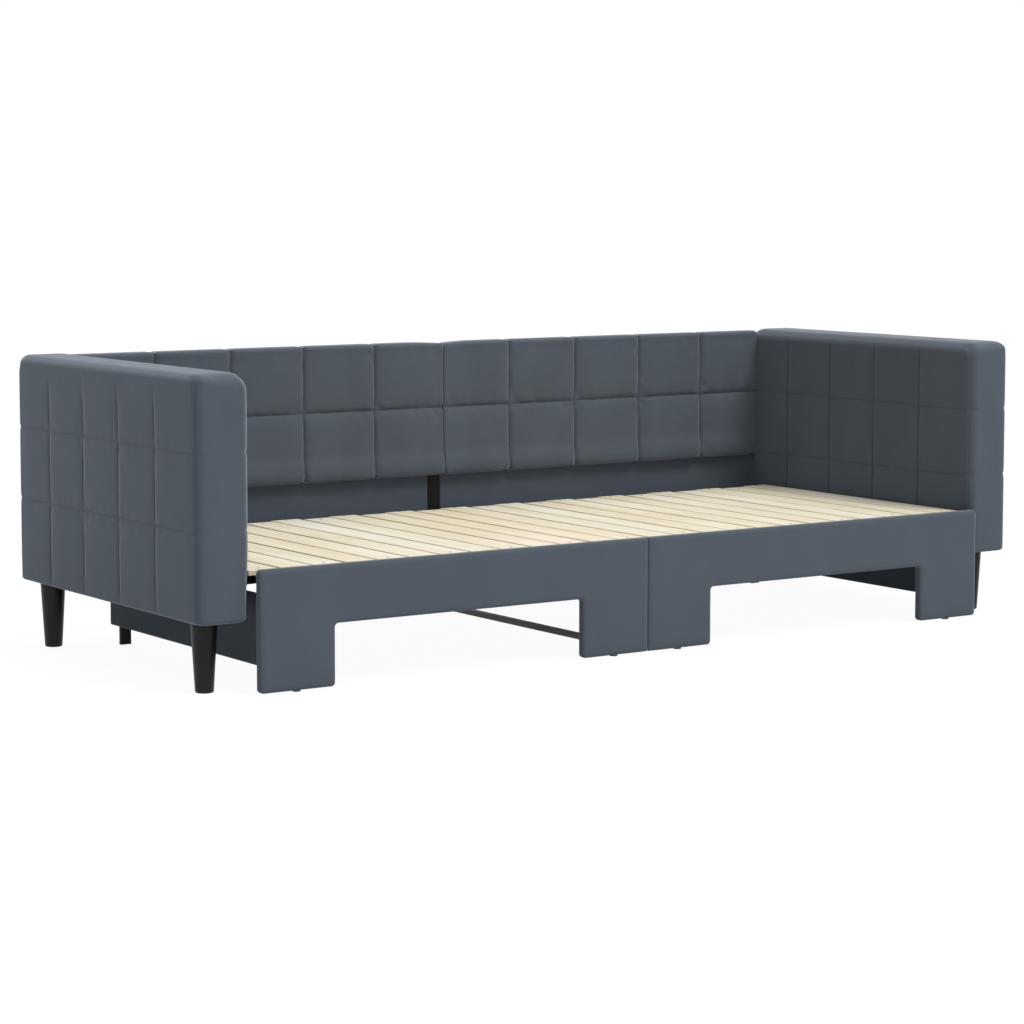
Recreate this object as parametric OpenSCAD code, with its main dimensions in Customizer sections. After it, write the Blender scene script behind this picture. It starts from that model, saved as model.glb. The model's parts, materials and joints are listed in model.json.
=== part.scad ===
// Day bed with a pull-out trundle: two upholstered arms, a two-part padded back and a
// fixed row of slats, with a second row of slats between them that rides forward on a
// pull-out frame. Millimetres; X along the bed, Y to the rear, Z up, floor at Z = 0.

/* [Overall] */
// Length of the mattress that the deck takes
mattress_len = 2000; // [1850:10:2100]
// Play between the mattress and each arm
end_play = 10; // [6:1:30]
// Depth from the front panel's face to the back's rear face
bed_depth = 900; // [850:10:1100]
// Height of the top of the slats
deck_h = 255; // [245:1:300]

/* [Arms and legs] */
// Thickness of an arm
arm_w = 117; // [100:1:160]
// Height of the top of the arms
arm_top = 668; // [560:1:800]
// How far the arms stand behind the front panel's face
arm_setback = 33; // [28:1:45]
// Thickness of an arm's padded cover
cover_t = 18; // [12:1:22]
// Radius of the arms' upper edges
arm_round = 24; // [12:1:34]
// Radius of the arms' upright edges
arm_corner = 11; // [5:1:14]
// Height of each of the two upper quilted rows
row_h = 163; // [120:1:200]
// Thickness of the board that closes an arm below
base_t = 9; // [6:1:15]
// Thickness of the rails and middle posts in an arm's frame
frame_rail = 30; // [20:1:40]
// Height of the legs
leg_h = 150; // [100:1:160]
// Radius of a leg at its top
leg_r_top = 28.5; // [22:0.5:30]
// Radius of a leg at the floor
leg_r_foot = 20; // [12:0.5:22]
// Distance from an arm's outer face to its legs' centres
leg_inset = 50; // [48:1:56]
// Distance from an arm's front face to its front leg's centre
leg_from_front = 72; // [55:1:120]
// Distance from an arm's rear face to its rear leg's centre
leg_from_rear = 65; // [55:1:120]

/* [Back] */
// Height of the top of the back pads
back_top = 665; // [560:1:800]
// Height of the lower edge of the back pads
pad_low = 332; // [310:1:380]
// Thickness of a back pad
pad_t = 22; // [15:1:40]
// Thickness of the covered boards behind the pads
back_board_t = 18; // [15:1:25]
// Height of the lower edge of the back boards
back_board_low = 160; // [110:1:170]
// Thickness of the part of a pad that lies over the board's top edge
pad_cap = 15; // [8:1:25]

/* [Slats] */
// Thickness of a slat
slat_t = 12; // [10:0.5:14]
// Gap between two slats
slat_gap = 6; // [4:0.5:12]
// Sideways shift of the moving slats from the middle of their places
moving_shift = 1.2; // [0:0.1:1.5]
// Length of a fixed slat that lies on the rear beam
slat_bearing = 16; // [12:1:24]

/* [Steel tubes] */
// Depth of the two fixed beams and the moving rail
beam_w = 30; // [26:1:36]
// Height of the beams, the rail and the ledger
beam_h = 15; // [12:0.5:18]
// Wall of all the steel tubes
tube_wall = 1.5; // [1:0.1:2]
// Depth of the ledger behind the front panel
ledger_w = 44; // [40:1:50]
// Gap between the back boards and the rear beam
rear_beam_gap = 54; // [48:1:90]
// Width of the centre frame's floor bar and its two short posts
centre_w = 20; // [16:1:24]
// Height of the floor bar
floor_bar_h = 12; // [10:1:16]
// Width of the tall centre post between the back boards
tall_post_w = 34; // [26:1:44]
// How far the centre frame stands to the left of the seam
centre_shift = 11; // [0:1:20]

/* [Pull-out frame] */
// Thickness of the front panels
panel_t = 22; // [18:1:26]
// Height of the top of the front panels
panel_top = 262; // [262:1:310]
// Height of the lower edge of the front panels between their feet
panel_rail_low = 139; // [110:1:160]
// Width of a front panel's outer foot
outer_foot_w = 179; // [120:1:220]
// Width of a front panel's foot at the seam
centre_foot_w = 180; // [120:1:220]
// Radius of the front panels' corners
panel_round = 9; // [4:1:20]
// Radius of the front panels' corners at the seam
seam_round = 3; // [1:0.5:8]
// Thickness of the side boards
side_t = 18; // [12:1:24]
// Distance from the front panel's end to a side board's outer face
side_inset = 42; // [38:1:60]
// Height of the lower edge of the side boards
side_low = 46; // [20:1:60]
// Height of the top of the side boards
side_top = 198; // [170:1:200]
// Width of a rear post
post_w = 25; // [16:1:30]
// Depth of a rear post
post_d = 12; // [10:1:20]
// Height of the plastic glides
glide_h = 3; // [2:0.5:5]

/* [Fixings] */
// Thickness of the steel plates and brackets
plate_t = 3; // [2:0.5:4]
// Length of a leg of an angle bracket
angle_leg = 30; // [24:1:32]
// Radius of the screws' shanks
screw_r = 2; // [1.5:0.1:2.5]
// Radius of the screws' heads
screw_head_r = 4.5; // [3.5:0.1:5.5]
// Radius of the bolts that hold the beam brackets
bolt_r = 3; // [2.5:0.1:4]
// Radius of the leg studs
stud_r = 4; // [3:0.1:5]

/* [Hidden] */
$fn = 48;

// fits and running gaps
slide_gap = 0.3;      // moving slats over fixed beams, moving rail under fixed slats
rail_play = 4;        // moving rail to the rear beam, ledger to the front beam
side_fit = 0.5;       // a piece between two others
hole_fit = 0.1;       // round a screw, bolt or stud
slat_over_front = 11; // fixed slats past the front beam
slat_over_rear = 5;   // moving slats past the moving rail
panel_to_slat = 4;    // front panel to the moving slats

// the layout along X
slat_count = 25;
slat_pitch = mattress_len / slat_count;
slat_w = slat_pitch - slat_gap;
inner_half = mattress_len / 2 + end_play;
outer_half = inner_half + arm_w;
panel_len = mattress_len / 2;
seam_gap = 1;
side_outer = panel_len - side_inset;
side_inner = side_outer - side_t;
leg_x = outer_half - leg_inset;

// the layout along Y
front_y = -bed_depth / 2;
rear_y = bed_depth / 2;
panel_back = front_y + panel_t;
arm_front = front_y + arm_setback;
arm_depth = rear_y - arm_front;
board_front = rear_y - back_board_t;
pad_front = board_front - pad_t;
front_beam_y = panel_back + ledger_w + rail_play - 1;
rear_beam_y = board_front - rear_beam_gap - beam_w;
rail_y = rear_beam_y - rail_play - beam_w;
fixed_slat_y = [front_beam_y - slat_over_front, rear_beam_y + slat_bearing];
moving_slat_y = [panel_back + panel_to_slat, rail_y + beam_w + slat_over_rear];
ledger_screw_y = panel_back + ledger_w - 6;

// the layout along Z
slat_low = deck_h - slat_t;
fixed_slat_low = slat_low + slide_gap;
fixed_beam_top = slat_low - slide_gap;
fixed_beam_low = fixed_beam_top - beam_h;
moving_beam_low = slat_low - beam_h;
seam_high = arm_top - row_h;
seam_low = seam_high - row_h;

// the brackets
bracket_w = 60;
bracket_drop = 62;
shelf_len = 34;
bracket_bolt_drop = 38;
bracket_bolt_y = 18;
back_angle_h = 58;
back_angle_low = back_board_low + 8;
back_plate_w = 100;
back_plate_h = 40;
back_plate_z = [back_board_low + 20, pad_low + 90];
joint_plate_h = 70;
joint_plate_gap = 7;  // joint plate to the ledger
joint_plate_w = 120;
joint_plate_low = moving_beam_low - joint_plate_gap - joint_plate_h;
angle_w = 30;
ledger_angle_x = [0.25 * panel_len, 0.75 * panel_len];
side_angle_z = [side_low + 35, side_top - 35];
post_screw_z = [side_low + 30, side_top - 30];

// the arms' frames
frame_in = inner_half + cover_t + side_fit;
frame_out = outer_half - cover_t - side_fit;
frame_front = arm_front + cover_t + side_fit;
frame_rear = rear_y - cover_t - side_fit;
frame_low = leg_h + base_t;
frame_top = arm_top - cover_t - side_fit;
bolt_wood = 16;       // wood between a bracket bolt and the edge of its post
front_post_w = front_beam_y + beam_w / 2 + bracket_bolt_y + bolt_wood - frame_front;
rear_post_w = frame_rear - (rear_beam_y + beam_w / 2 - bracket_bolt_y - bolt_wood);
mid_posts = 3;
nut_flange = 2;
nut_barrel = 12;
stud_in_leg = 40;

// quilting
groove = 5;
arm_columns = 5;
back_columns = 5;
pad_corner = 14;
pad_edge = 8;

fixed_slats = [for (i = [0 : 2 : slat_count - 1]) i];
moving_slats = [for (i = [1 : 2 : slat_count - 2]) i];
fixed_names = [for (k = [1 : len(fixed_slats)]) str("fixed_slat_", k)];
moving_names = [for (k = [1 : len(moving_slats)]) str("moving_slat_", k)];

velvet = "#505a66";
velvet_dark = "#454e59";
pine = "#e6d8b8";
timber = "#c9a878";
black = "#1b1b1d";
steel = "#b9bcc0";

// ---------- shapes ----------

// A flat rectangle with its own radius at the lower and the upper corners
module round_rect(w, h, r_low, r_high) {
    translate([r_low, 0]) square([w - 2 * r_low, h / 2]);
    translate([0, r_low]) square([w, h / 2 - r_low]);
    translate([r_high, h / 2]) square([w - 2 * r_high, h / 2]);
    translate([0, h / 2]) square([w, h / 2 - r_high]);
    if (r_low > 0) for (x = [r_low, w - r_low]) translate([x, r_low]) circle(r_low);
    if (r_high > 0) for (x = [r_high, w - r_high]) translate([x, h - r_high]) circle(r_high);
}

// A block from low corner p, rounded along its upper edges and its upright edges
module soft_block(p, size, r_top, r_side) {
    translate(p) intersection() {
        translate([0, size[1], 0]) rotate([90, 0, 0])
            linear_extrude(size[1]) round_rect(size[0], size[2], 0, r_top);
        rotate([90, 0, 90]) linear_extrude(size[0]) round_rect(size[1], size[2], 0, r_top);
        linear_extrude(size[2]) round_rect(size[0], size[1], r_side, r_side);
    }
}

// A cube from its low corner to its high corner
module box(low, high) {
    translate(low) cube(high - low);
}

// A rectangular tube from corner to corner, open at both ends along the axis given
module tube(low, high, axis) {
    inset = [for (k = [0 : 2]) k == axis ? -1 : tube_wall];
    difference() {
        box(low, high);
        box(low + inset, high - inset);
    }
}

// Turns a piece that points up +Z so that it points along d
module point_along(d) {
    rotate([0, 0, atan2(d[1], d[0])]) rotate([0, acos(d[2]), 0]) children();
}

// A screw with a domed head: the shank runs along d from p, the head lies behind p
module pan_screw(p, d, length, r = screw_r, head_r = screw_head_r, head_h = 2.4) {
    translate(p) point_along(d) {
        cylinder(r = r, h = length);
        translate([0, 0, -head_h]) cylinder(r1 = head_r * 0.7, r2 = head_r, h = head_h);
    }
}

// The hole for a screw's shank
module screw_hole(p, d, length, r = screw_r) {
    translate(p) point_along(d) translate([0, 0, -1]) cylinder(r = r + hole_fit, h = length + 1);
}

module on_both_sides() {
    children();
    mirror([1, 0, 0]) children();
}

// Sewn grooves on a face in the YZ plane at x: uprights at the ys, level lines at the zs
module side_grooves(x, ys, zs, y_range, z_range) {
    for (y = ys) translate([x, y, z_range[0]]) rotate([0, 0, 45])
        translate([-groove / 2, -groove / 2, 0]) cube([groove, groove, z_range[1] - z_range[0]]);
    for (z = zs) translate([x, y_range[0], z]) rotate([0, 45, 0])
        translate([-groove / 2, 0, -groove / 2]) cube([groove, y_range[1] - y_range[0], groove]);
}

// ---------- arms ----------

arm_column = (arm_depth - 4) / arm_columns;
arm_seams_y = [for (k = [1 : arm_columns - 1]) arm_front + 2 + k * arm_column];
beam_ys = [front_beam_y, rear_beam_y];

function bracket_bolts_at(y) = [for (dy = [-bracket_bolt_y, bracket_bolt_y])
    [inner_half - plate_t, y + beam_w / 2 + dy, fixed_beam_low - bracket_bolt_drop]];

back_angle_screws_z = [back_angle_low + 15, back_angle_low + back_angle_h - 15];
bracket_bolt_len = plate_t + cover_t + 28;
angle_screw_len = plate_t + cover_t + 14;

module arm_holes() {
    for (y = beam_ys) for (p = bracket_bolts_at(y))
        screw_hole(p, [1, 0, 0], bracket_bolt_len, bolt_r);
    for (z = back_angle_screws_z)
        screw_hole([inner_half - plate_t, board_front - angle_leg / 2, z], [1, 0, 0], angle_screw_len);
}

module arm_cover() {
    color(velvet) difference() {
        soft_block([inner_half, arm_front, leg_h], [arm_w, arm_depth, arm_top - leg_h],
            arm_round, arm_corner);
        box([inner_half + cover_t, arm_front + cover_t, leg_h - 1],
            [outer_half - cover_t, rear_y - cover_t, arm_top - cover_t]);
        for (x = [inner_half, outer_half])
            side_grooves(x, arm_seams_y, [seam_low, seam_high],
                [arm_front - 1, rear_y + 1], [leg_h - 1, arm_top - arm_round]);
        arm_holes();
    }
}

module arm_frame() {
    span_low = frame_front + front_post_w;
    span = frame_rear - rear_post_w - span_low;
    window = (span - mid_posts * frame_rail) / (mid_posts + 1);
    storey = (frame_top - frame_low - 3 * frame_rail) / 2;
    nut_pockets = [[leg_ys[0] - nut_flange_r - 1, span_low + 1],
        [frame_rear - rear_post_w - 1, leg_ys[1] + nut_flange_r + 1]];
    color(timber) difference() {
        box([frame_in, frame_front, frame_low], [frame_out, frame_rear, frame_top]);
        for (k = [0 : mid_posts]) for (level = [0, 1])
            translate([frame_in - 1, span_low + k * (window + frame_rail),
                frame_low + frame_rail + level * (storey + frame_rail)])
                cube([frame_out - frame_in + 2, window, storey]);
        for (y = leg_ys) translate([leg_x, y, frame_low - 1])
            cylinder(r = nut_r + hole_fit, h = frame_rail + 2);
        for (ends = nut_pockets)
            box([leg_x - nut_flange_r - 1, ends[0], frame_low + frame_rail],
                [leg_x + nut_flange_r + 1, ends[1], frame_low + frame_rail + stud_over + 1]);
        arm_holes();
    }
}

module arm_base() {
    difference() {
        box([frame_in, frame_front, leg_h], [frame_out, frame_rear, leg_h + base_t]);
        for (y = leg_ys) translate([leg_x, y, leg_h - 1])
            cylinder(r = stud_r + hole_fit, h = base_t + 2);
    }
}

module arm_bases() {
    color(black) on_both_sides() arm_base();
}

// ---------- legs ----------

leg_ys = [arm_front + leg_from_front, rear_y - leg_from_rear];
nut_r = stud_r + 1.8;
nut_flange_r = stud_r + 7;
stud_over = 6;

module leg(y) {
    color(black) translate([leg_x, y, 0]) difference() {
        rotate_extrude($fn = 64) polygon([[0, 0], [leg_r_foot - 2, 0], [leg_r_foot, 2],
            [leg_r_top, leg_h], [0, leg_h]]);
        translate([0, 0, leg_h - stud_in_leg]) cylinder(r = stud_r + hole_fit, h = stud_in_leg + 1);
    }
}

// The leg's stud, and the flanged nut in the arm's lower rail that it screws into
module leg_stud(y) {
    nut_top = frame_low + frame_rail;
    color(steel) translate([leg_x, y, 0]) {
        translate([0, 0, leg_h - stud_in_leg + 1])
            cylinder(r = stud_r, h = nut_top + stud_over - leg_h + stud_in_leg - 1);
        translate([0, 0, nut_top]) difference() {
            union() {
                translate([0, 0, -nut_barrel]) cylinder(r = nut_r, h = nut_barrel);
                cylinder(r = nut_flange_r, h = nut_flange);
            }
            translate([0, 0, -nut_barrel - 1])
                cylinder(r = stud_r + hole_fit, h = nut_barrel + nut_flange + 2);
        }
    }
}

module leg_studs() {
    on_both_sides() for (y = leg_ys) leg_stud(y);
}

// ---------- back ----------

post_x = [-centre_shift - tall_post_w / 2, -centre_shift + tall_post_w / 2];
board_top = back_top - pad_cap;
back_plate_screw_x = [-back_plate_w / 2 + 12, back_plate_w / 2 - 12];
back_plate_screw_z = [10, back_plate_h - 10];
wood_screw_len = plate_t + 12;

module back_screw_places() {
    for (z0 = back_plate_z) {
        for (x = back_plate_screw_x) for (z = back_plate_screw_z)
            translate([x - centre_shift, board_front - plate_t, z0 + z]) children();
        translate([-centre_shift, board_front - plate_t, z0 + back_plate_h / 2]) children();
    }
    for (z = back_angle_screws_z)
        for (x = [-1, 1] * (inner_half - angle_leg / 2))
            translate([x, board_front - plate_t, z]) children();
}

// One covered board, from x_low to x_high
module back_board(x_low, x_high) {
    color(velvet_dark) difference() {
        box([x_low, board_front, back_board_low], [x_high, rear_y, board_top]);
        back_screw_places() screw_hole([0, 0, 0], [0, 1, 0], wood_screw_len);
    }
}

module back_left_board() {
    back_board(-inner_half + side_fit, post_x[0] - side_fit);
}

module back_right_board() {
    back_board(post_x[1] + side_fit, inner_half - side_fit);
}

// A quilted pad on the front of the right board, folded over its top edge
module back_pad() {
    x_low = seam_gap / 2;
    x_high = inner_half - side_fit;
    column = (x_high - x_low) / back_columns;
    color(velvet) difference() {
        union() {
            intersection() {
                translate([x_low, board_front, pad_low]) rotate([90, 0, 0]) linear_extrude(pad_t)
                    round_rect(x_high - x_low, back_top - pad_low, pad_corner, pad_edge);
                translate([x_low, pad_front, pad_low]) rotate([90, 0, 90])
                    linear_extrude(x_high - x_low)
                    round_rect(pad_t + 2 * pad_edge, back_top - pad_low, pad_edge, pad_edge);
                translate([x_low, pad_front, pad_low]) linear_extrude(back_top - pad_low)
                    round_rect(x_high - x_low, pad_t + 2 * pad_edge, pad_edge, 0);
            }
            box([x_low, board_front - 1, board_top], [x_high, rear_y, back_top]);
        }
        for (k = [1 : back_columns - 1]) translate([x_low + k * column, pad_front, pad_low - 1])
            rotate([0, 0, 45]) translate([-groove / 2, -groove / 2, 0])
                cube([groove, groove, back_top]);
        translate([x_low - 1, pad_front, seam_high]) rotate([45, 0, 0])
            translate([0, -groove / 2, -groove / 2]) cube([x_high - x_low + 2, groove, groove]);
        box([-back_plate_w, board_front - plate_t - 3, back_plate_z[1] - 2],
            [back_plate_w, board_front + 1, back_plate_z[1] + back_plate_h + 2]);
    }
}

module back_plate(z) {
    difference() {
        box([-back_plate_w / 2 - centre_shift, board_front - plate_t, z],
            [back_plate_w / 2 - centre_shift, board_front, z + back_plate_h]);
        back_screw_places() screw_hole([0, 0, 0], [0, 1, 0], wood_screw_len);
    }
}

module back_plates() {
    color(black) for (z = back_plate_z) back_plate(z);
}

// The angle that ties the right back board to the right arm
module back_angle() {
    difference() {
        union() {
            box([inner_half - angle_leg, board_front - plate_t, back_angle_low],
                [inner_half, board_front, back_angle_low + back_angle_h]);
            box([inner_half - plate_t, board_front - angle_leg, back_angle_low],
                [inner_half, board_front, back_angle_low + back_angle_h]);
        }
        back_screw_places() screw_hole([0, 0, 0], [0, 1, 0], wood_screw_len);
        arm_holes();
    }
}

module back_angles() {
    color(black) on_both_sides() back_angle();
}

module back_screws() {
    color(steel) {
        back_screw_places() pan_screw([0, 0, 0], [0, 1, 0], wood_screw_len);
        on_both_sides() for (z = back_angle_screws_z)
            pan_screw([inner_half - plate_t, board_front - angle_leg / 2, z], [1, 0, 0],
                angle_screw_len);
    }
}

// ---------- fixed steel ----------

short_posts_y = [for (y = beam_ys) y + beam_w / 2 - centre_w / 2];

module centre_frame() {
    x = [-centre_shift - centre_w / 2, -centre_shift + centre_w / 2];
    wall = [tube_wall, tube_wall, 0];
    tops = [fixed_beam_low, fixed_beam_low];
    color(black) difference() {
        union() {
            box([x[0], short_posts_y[0], 0], [x[1], rear_y, floor_bar_h]);
            for (k = [0, 1])
                box([x[0], short_posts_y[k], 0], [x[1], short_posts_y[k] + centre_w, tops[k]]);
            box([post_x[0], board_front, 0], [post_x[1], rear_y, board_top - 5]);
        }
        for (k = [0, 1])
            box([x[0], short_posts_y[k], floor_bar_h] + wall,
                [x[1], short_posts_y[k] + centre_w, tops[k] + 1] - wall);
        box([post_x[0], board_front, floor_bar_h] + wall, [post_x[1], rear_y, board_top] - wall);
        back_screw_places() screw_hole([0, 0, 0], [0, 1, 0], plate_t + tube_wall + 1);
    }
}

// A fixed beam between the arms, drilled for its slats and its bracket bolts
module fixed_beam(y, screw_y) {
    half = inner_half - plate_t - side_fit;
    color(black) difference() {
        tube([-half, y, fixed_beam_low], [half, y + beam_w, fixed_beam_top], 0);
        for (i = fixed_slats)
            screw_hole([slat_x(i), screw_y, fixed_beam_top], [0, 0, -1], tube_wall + 1);
        on_both_sides() screw_hole(beam_bolt_at(y), [0, 0, 1], plate_t + tube_wall + 1, bolt_r);
    }
}

fixed_screw_ys = [front_beam_y + beam_w / 2, rear_beam_y + slat_bearing / 2];

function beam_bolt_at(y) = [inner_half - shelf_len / 2 - 4, y + beam_w / 2, fixed_beam_low - plate_t];

// A bracket on the right arm's inner face, with a shelf that the beam's end lies on
module beam_bracket(y) {
    mid = y + beam_w / 2;
    low = fixed_beam_low - bracket_drop;
    difference() {
        union() {
            box([inner_half - plate_t, mid - bracket_w / 2, low],
                [inner_half, mid + bracket_w / 2, fixed_beam_low]);
            box([inner_half - shelf_len, y, fixed_beam_low - plate_t],
                [inner_half, y + beam_w, fixed_beam_low]);
        }
        for (p = bracket_bolts_at(y)) screw_hole(p, [1, 0, 0], bracket_bolt_len, bolt_r);
        screw_hole(beam_bolt_at(y), [0, 0, 1], plate_t + 1, bolt_r);
    }
}

module beam_brackets() {
    color(black) on_both_sides() for (y = beam_ys) beam_bracket(y);
}

module bracket_bolts() {
    color(steel) on_both_sides() for (y = beam_ys) {
        for (p = bracket_bolts_at(y))
            pan_screw(p, [1, 0, 0], bracket_bolt_len - 1, bolt_r, bolt_r + 2.2, 3.5);
        pan_screw(beam_bolt_at(y), [0, 0, 1], plate_t + 8, bolt_r, bolt_r + 2.2, 3.5);
    }
}

// ---------- slats ----------

function slat_x(i) = (i - (slat_count - 1) / 2) * slat_pitch;

sink = 2.6;           // depth of a slat screw's conical head
sunk = 0.4;           // how far the head lies below the slat's face
slat_screw_len = slat_t + 6;

// A slat with two countersunk holes; low is its underside
module slat(x, ys, low, screw_ys) {
    color(pine) difference() {
        box([x - slat_w / 2, ys[0], low], [x + slat_w / 2, ys[1], deck_h]);
        for (y = screw_ys) translate([x, y, 0]) {
            translate([0, 0, low - 1]) cylinder(r = screw_r + hole_fit, h = slat_t + 2);
            translate([0, 0, deck_h - sunk - sink])
                cylinder(r1 = screw_r + hole_fit, r2 = screw_head_r + hole_fit, h = sink);
            translate([0, 0, deck_h - sunk]) cylinder(r = screw_head_r + hole_fit, h = sunk + 1);
        }
    }
}

module fixed_slat(k) {
    slat(slat_x(fixed_slats[k]), fixed_slat_y, fixed_slat_low, fixed_screw_ys);
}

moving_screw_ys = [ledger_screw_y, rail_y + beam_w / 2];

module moving_slat(k) {
    slat(slat_x(moving_slats[k]) + moving_shift, moving_slat_y, slat_low, moving_screw_ys);
}

// A countersunk screw, its flat head just under the slat's face
module sunk_screw(x, y) {
    translate([x, y, deck_h - sunk]) {
        translate([0, 0, -sink]) cylinder(r1 = screw_r, r2 = screw_head_r, h = sink);
        translate([0, 0, -slat_screw_len]) cylinder(r = screw_r, h = slat_screw_len - sink + 0.1);
    }
}

module fixed_slat_screws() {
    color(steel) for (i = fixed_slats) for (y = fixed_screw_ys) sunk_screw(slat_x(i), y);
}

module moving_slat_screws() {
    color(steel) for (i = moving_slats) for (y = moving_screw_ys)
        sunk_screw(slat_x(i) + moving_shift, y);
}

// ---------- pull-out frame ----------

// The outline of the right front panel, seen from the front, with its seam at x = 0
module panel_outline() {
    h = panel_top - glide_h;
    cut = panel_rail_low - glide_h;
    feet = [[0, centre_foot_w], [panel_len - outer_foot_w, outer_foot_w]];
    difference() {
        union() {
            translate([0, cut]) round_rect(panel_len, h - cut, 0, panel_round);
            translate([0, cut]) round_rect(panel_len / 2, h - cut, 0, seam_round);
            for (f = feet) translate([f[0], 0])
                round_rect(f[1], cut + 2 * panel_round, panel_round, 0);
            round_rect(centre_foot_w / 2, cut + 2 * panel_round, seam_round, 0);
            translate([centre_foot_w - 1, cut - panel_round])
                square([panel_round + 1, panel_round + 1]);
            translate([panel_len - outer_foot_w - panel_round, cut - panel_round])
                square([panel_round + 1, panel_round + 1]);
        }
        for (x = [centre_foot_w + panel_round, panel_len - outer_foot_w - panel_round])
            translate([x, cut - panel_round]) circle(panel_round);
    }
}

function joint_screws() = [for (x = [-1, 1] * (joint_plate_w / 2 - 15))
    for (z = [12, joint_plate_h - 12]) [x, panel_back + plate_t, joint_plate_low + z]];

function ledger_angle_screws() = [for (s = [-1, 1]) for (x = ledger_angle_x)
    [s * x, panel_back + plate_t, moving_beam_low - angle_leg / 2 - 2]];

function side_angle_screws() = [for (s = [-1, 1]) for (z = side_angle_z)
    [s * (side_inner - angle_leg / 2 - 2), panel_back + plate_t, z]];

module panel_screw_holes() {
    for (p = concat(joint_screws(), ledger_angle_screws(), side_angle_screws()))
        screw_hole(p, [0, -1, 0], wood_screw_len);
}

module front_panel_right() {
    color(velvet) difference() {
        translate([seam_gap / 2, panel_back, glide_h]) rotate([90, 0, 0])
            linear_extrude(panel_t) panel_outline();
        panel_screw_holes();
    }
}

module front_panel_left() {
    mirror([1, 0, 0]) front_panel_right();
}

module panel_joint_plate() {
    color(black) difference() {
        box([-joint_plate_w / 2, panel_back, joint_plate_low],
            [joint_plate_w / 2, panel_back + plate_t, joint_plate_low + joint_plate_h]);
        panel_screw_holes();
    }
}

module front_ledger() {
    half = panel_len - 15;
    color(black) difference() {
        tube([-half, panel_back, moving_beam_low],
            [half, panel_back + ledger_w, slat_low], 0);
        for (i = moving_slats)
            screw_hole([slat_x(i) + moving_shift, ledger_screw_y, slat_low], [0, 0, -1],
                tube_wall + 1);
        ledger_up_holes();
    }
}

module ledger_up_holes() {
    for (s = [-1, 1]) for (x = ledger_angle_x)
        screw_hole([s * x, panel_back + angle_leg / 2 + 2, moving_beam_low - plate_t], [0, 0, 1],
            plate_t + tube_wall + 1);
}

module side_board() {
    color(velvet_dark) difference() {
        box([side_inner, panel_back, side_low], [side_outer, rail_y + post_d + 10, side_top]);
        side_board_holes();
    }
}

// Screws through the angles and the rear posts into the right side board
module side_board_holes() {
    for (z = side_angle_z)
        screw_hole([side_inner - plate_t, panel_back + angle_leg / 2 + 2, z], [1, 0, 0],
            wood_screw_len);
    for (z = post_screw_z)
        screw_hole([side_inner - post_w, rail_y + post_d / 2, z], [1, 0, 0], post_w + 12);
}

// The angle under the ledger at x
module ledger_angle(x) {
    difference() {
        union() {
            box([x - angle_w / 2, panel_back, moving_beam_low - angle_leg],
                [x + angle_w / 2, panel_back + plate_t, moving_beam_low]);
            box([x - angle_w / 2, panel_back, moving_beam_low - plate_t],
                [x + angle_w / 2, panel_back + angle_leg, moving_beam_low]);
        }
        panel_screw_holes();
        ledger_up_holes();
    }
}

// The angle between the right side board and the front panel at height z
module side_angle(z) {
    difference() {
        union() {
            box([side_inner - angle_leg, panel_back, z - angle_w / 2],
                [side_inner, panel_back + plate_t, z + angle_w / 2]);
            box([side_inner - plate_t, panel_back, z - angle_w / 2],
                [side_inner, panel_back + angle_leg, z + angle_w / 2]);
        }
        panel_screw_holes();
        side_board_holes();
    }
}

module corner_angles() {
    color(black) on_both_sides() {
        for (x = ledger_angle_x) ledger_angle(x);
        for (z = side_angle_z) side_angle(z);
    }
}

module rear_rail() {
    color(black) difference() {
        tube([-side_outer, rail_y, moving_beam_low], [side_outer, rail_y + beam_w, slat_low], 0);
        for (i = moving_slats)
            screw_hole([slat_x(i) + moving_shift, moving_screw_ys[1], slat_low], [0, 0, -1],
                tube_wall + 1);
    }
}

module rear_post() {
    difference() {
        tube([side_inner - post_w, rail_y, glide_h],
            [side_inner, rail_y + post_d, moving_beam_low], 2);
        side_board_holes();
    }
}

module rear_posts() {
    color(black) on_both_sides() rear_post();
}

module pull_out_screws() {
    color(steel) {
        for (p = concat(joint_screws(), ledger_angle_screws(), side_angle_screws()))
            pan_screw(p, [0, -1, 0], wood_screw_len - 1);
        for (s = [-1, 1]) for (x = ledger_angle_x)
            pan_screw([s * x, panel_back + angle_leg / 2 + 2, moving_beam_low - plate_t],
                [0, 0, 1], plate_t + 8);
        on_both_sides() {
            for (z = side_angle_z)
                pan_screw([side_inner - plate_t, panel_back + angle_leg / 2 + 2, z], [1, 0, 0],
                    wood_screw_len - 1);
            for (z = post_screw_z)
                pan_screw([side_inner - post_w, rail_y + post_d / 2, z], [1, 0, 0], post_w + 11);
        }
    }
}

// Plastic glides under the front panels' feet and the rear posts
module floor_glides() {
    foot_x = [centre_foot_w / 2, panel_len - outer_foot_w / 2];
    color(black) on_both_sides() {
        for (x = foot_x) translate([x, front_y + panel_t / 2, 0])
            cylinder(r = 0.4 * panel_t, h = glide_h);
        box([side_inner - post_w, rail_y, 0], [side_inner, rail_y + post_d, glide_h]);
    }
}

// ---------- the parts, one by one ----------

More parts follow.
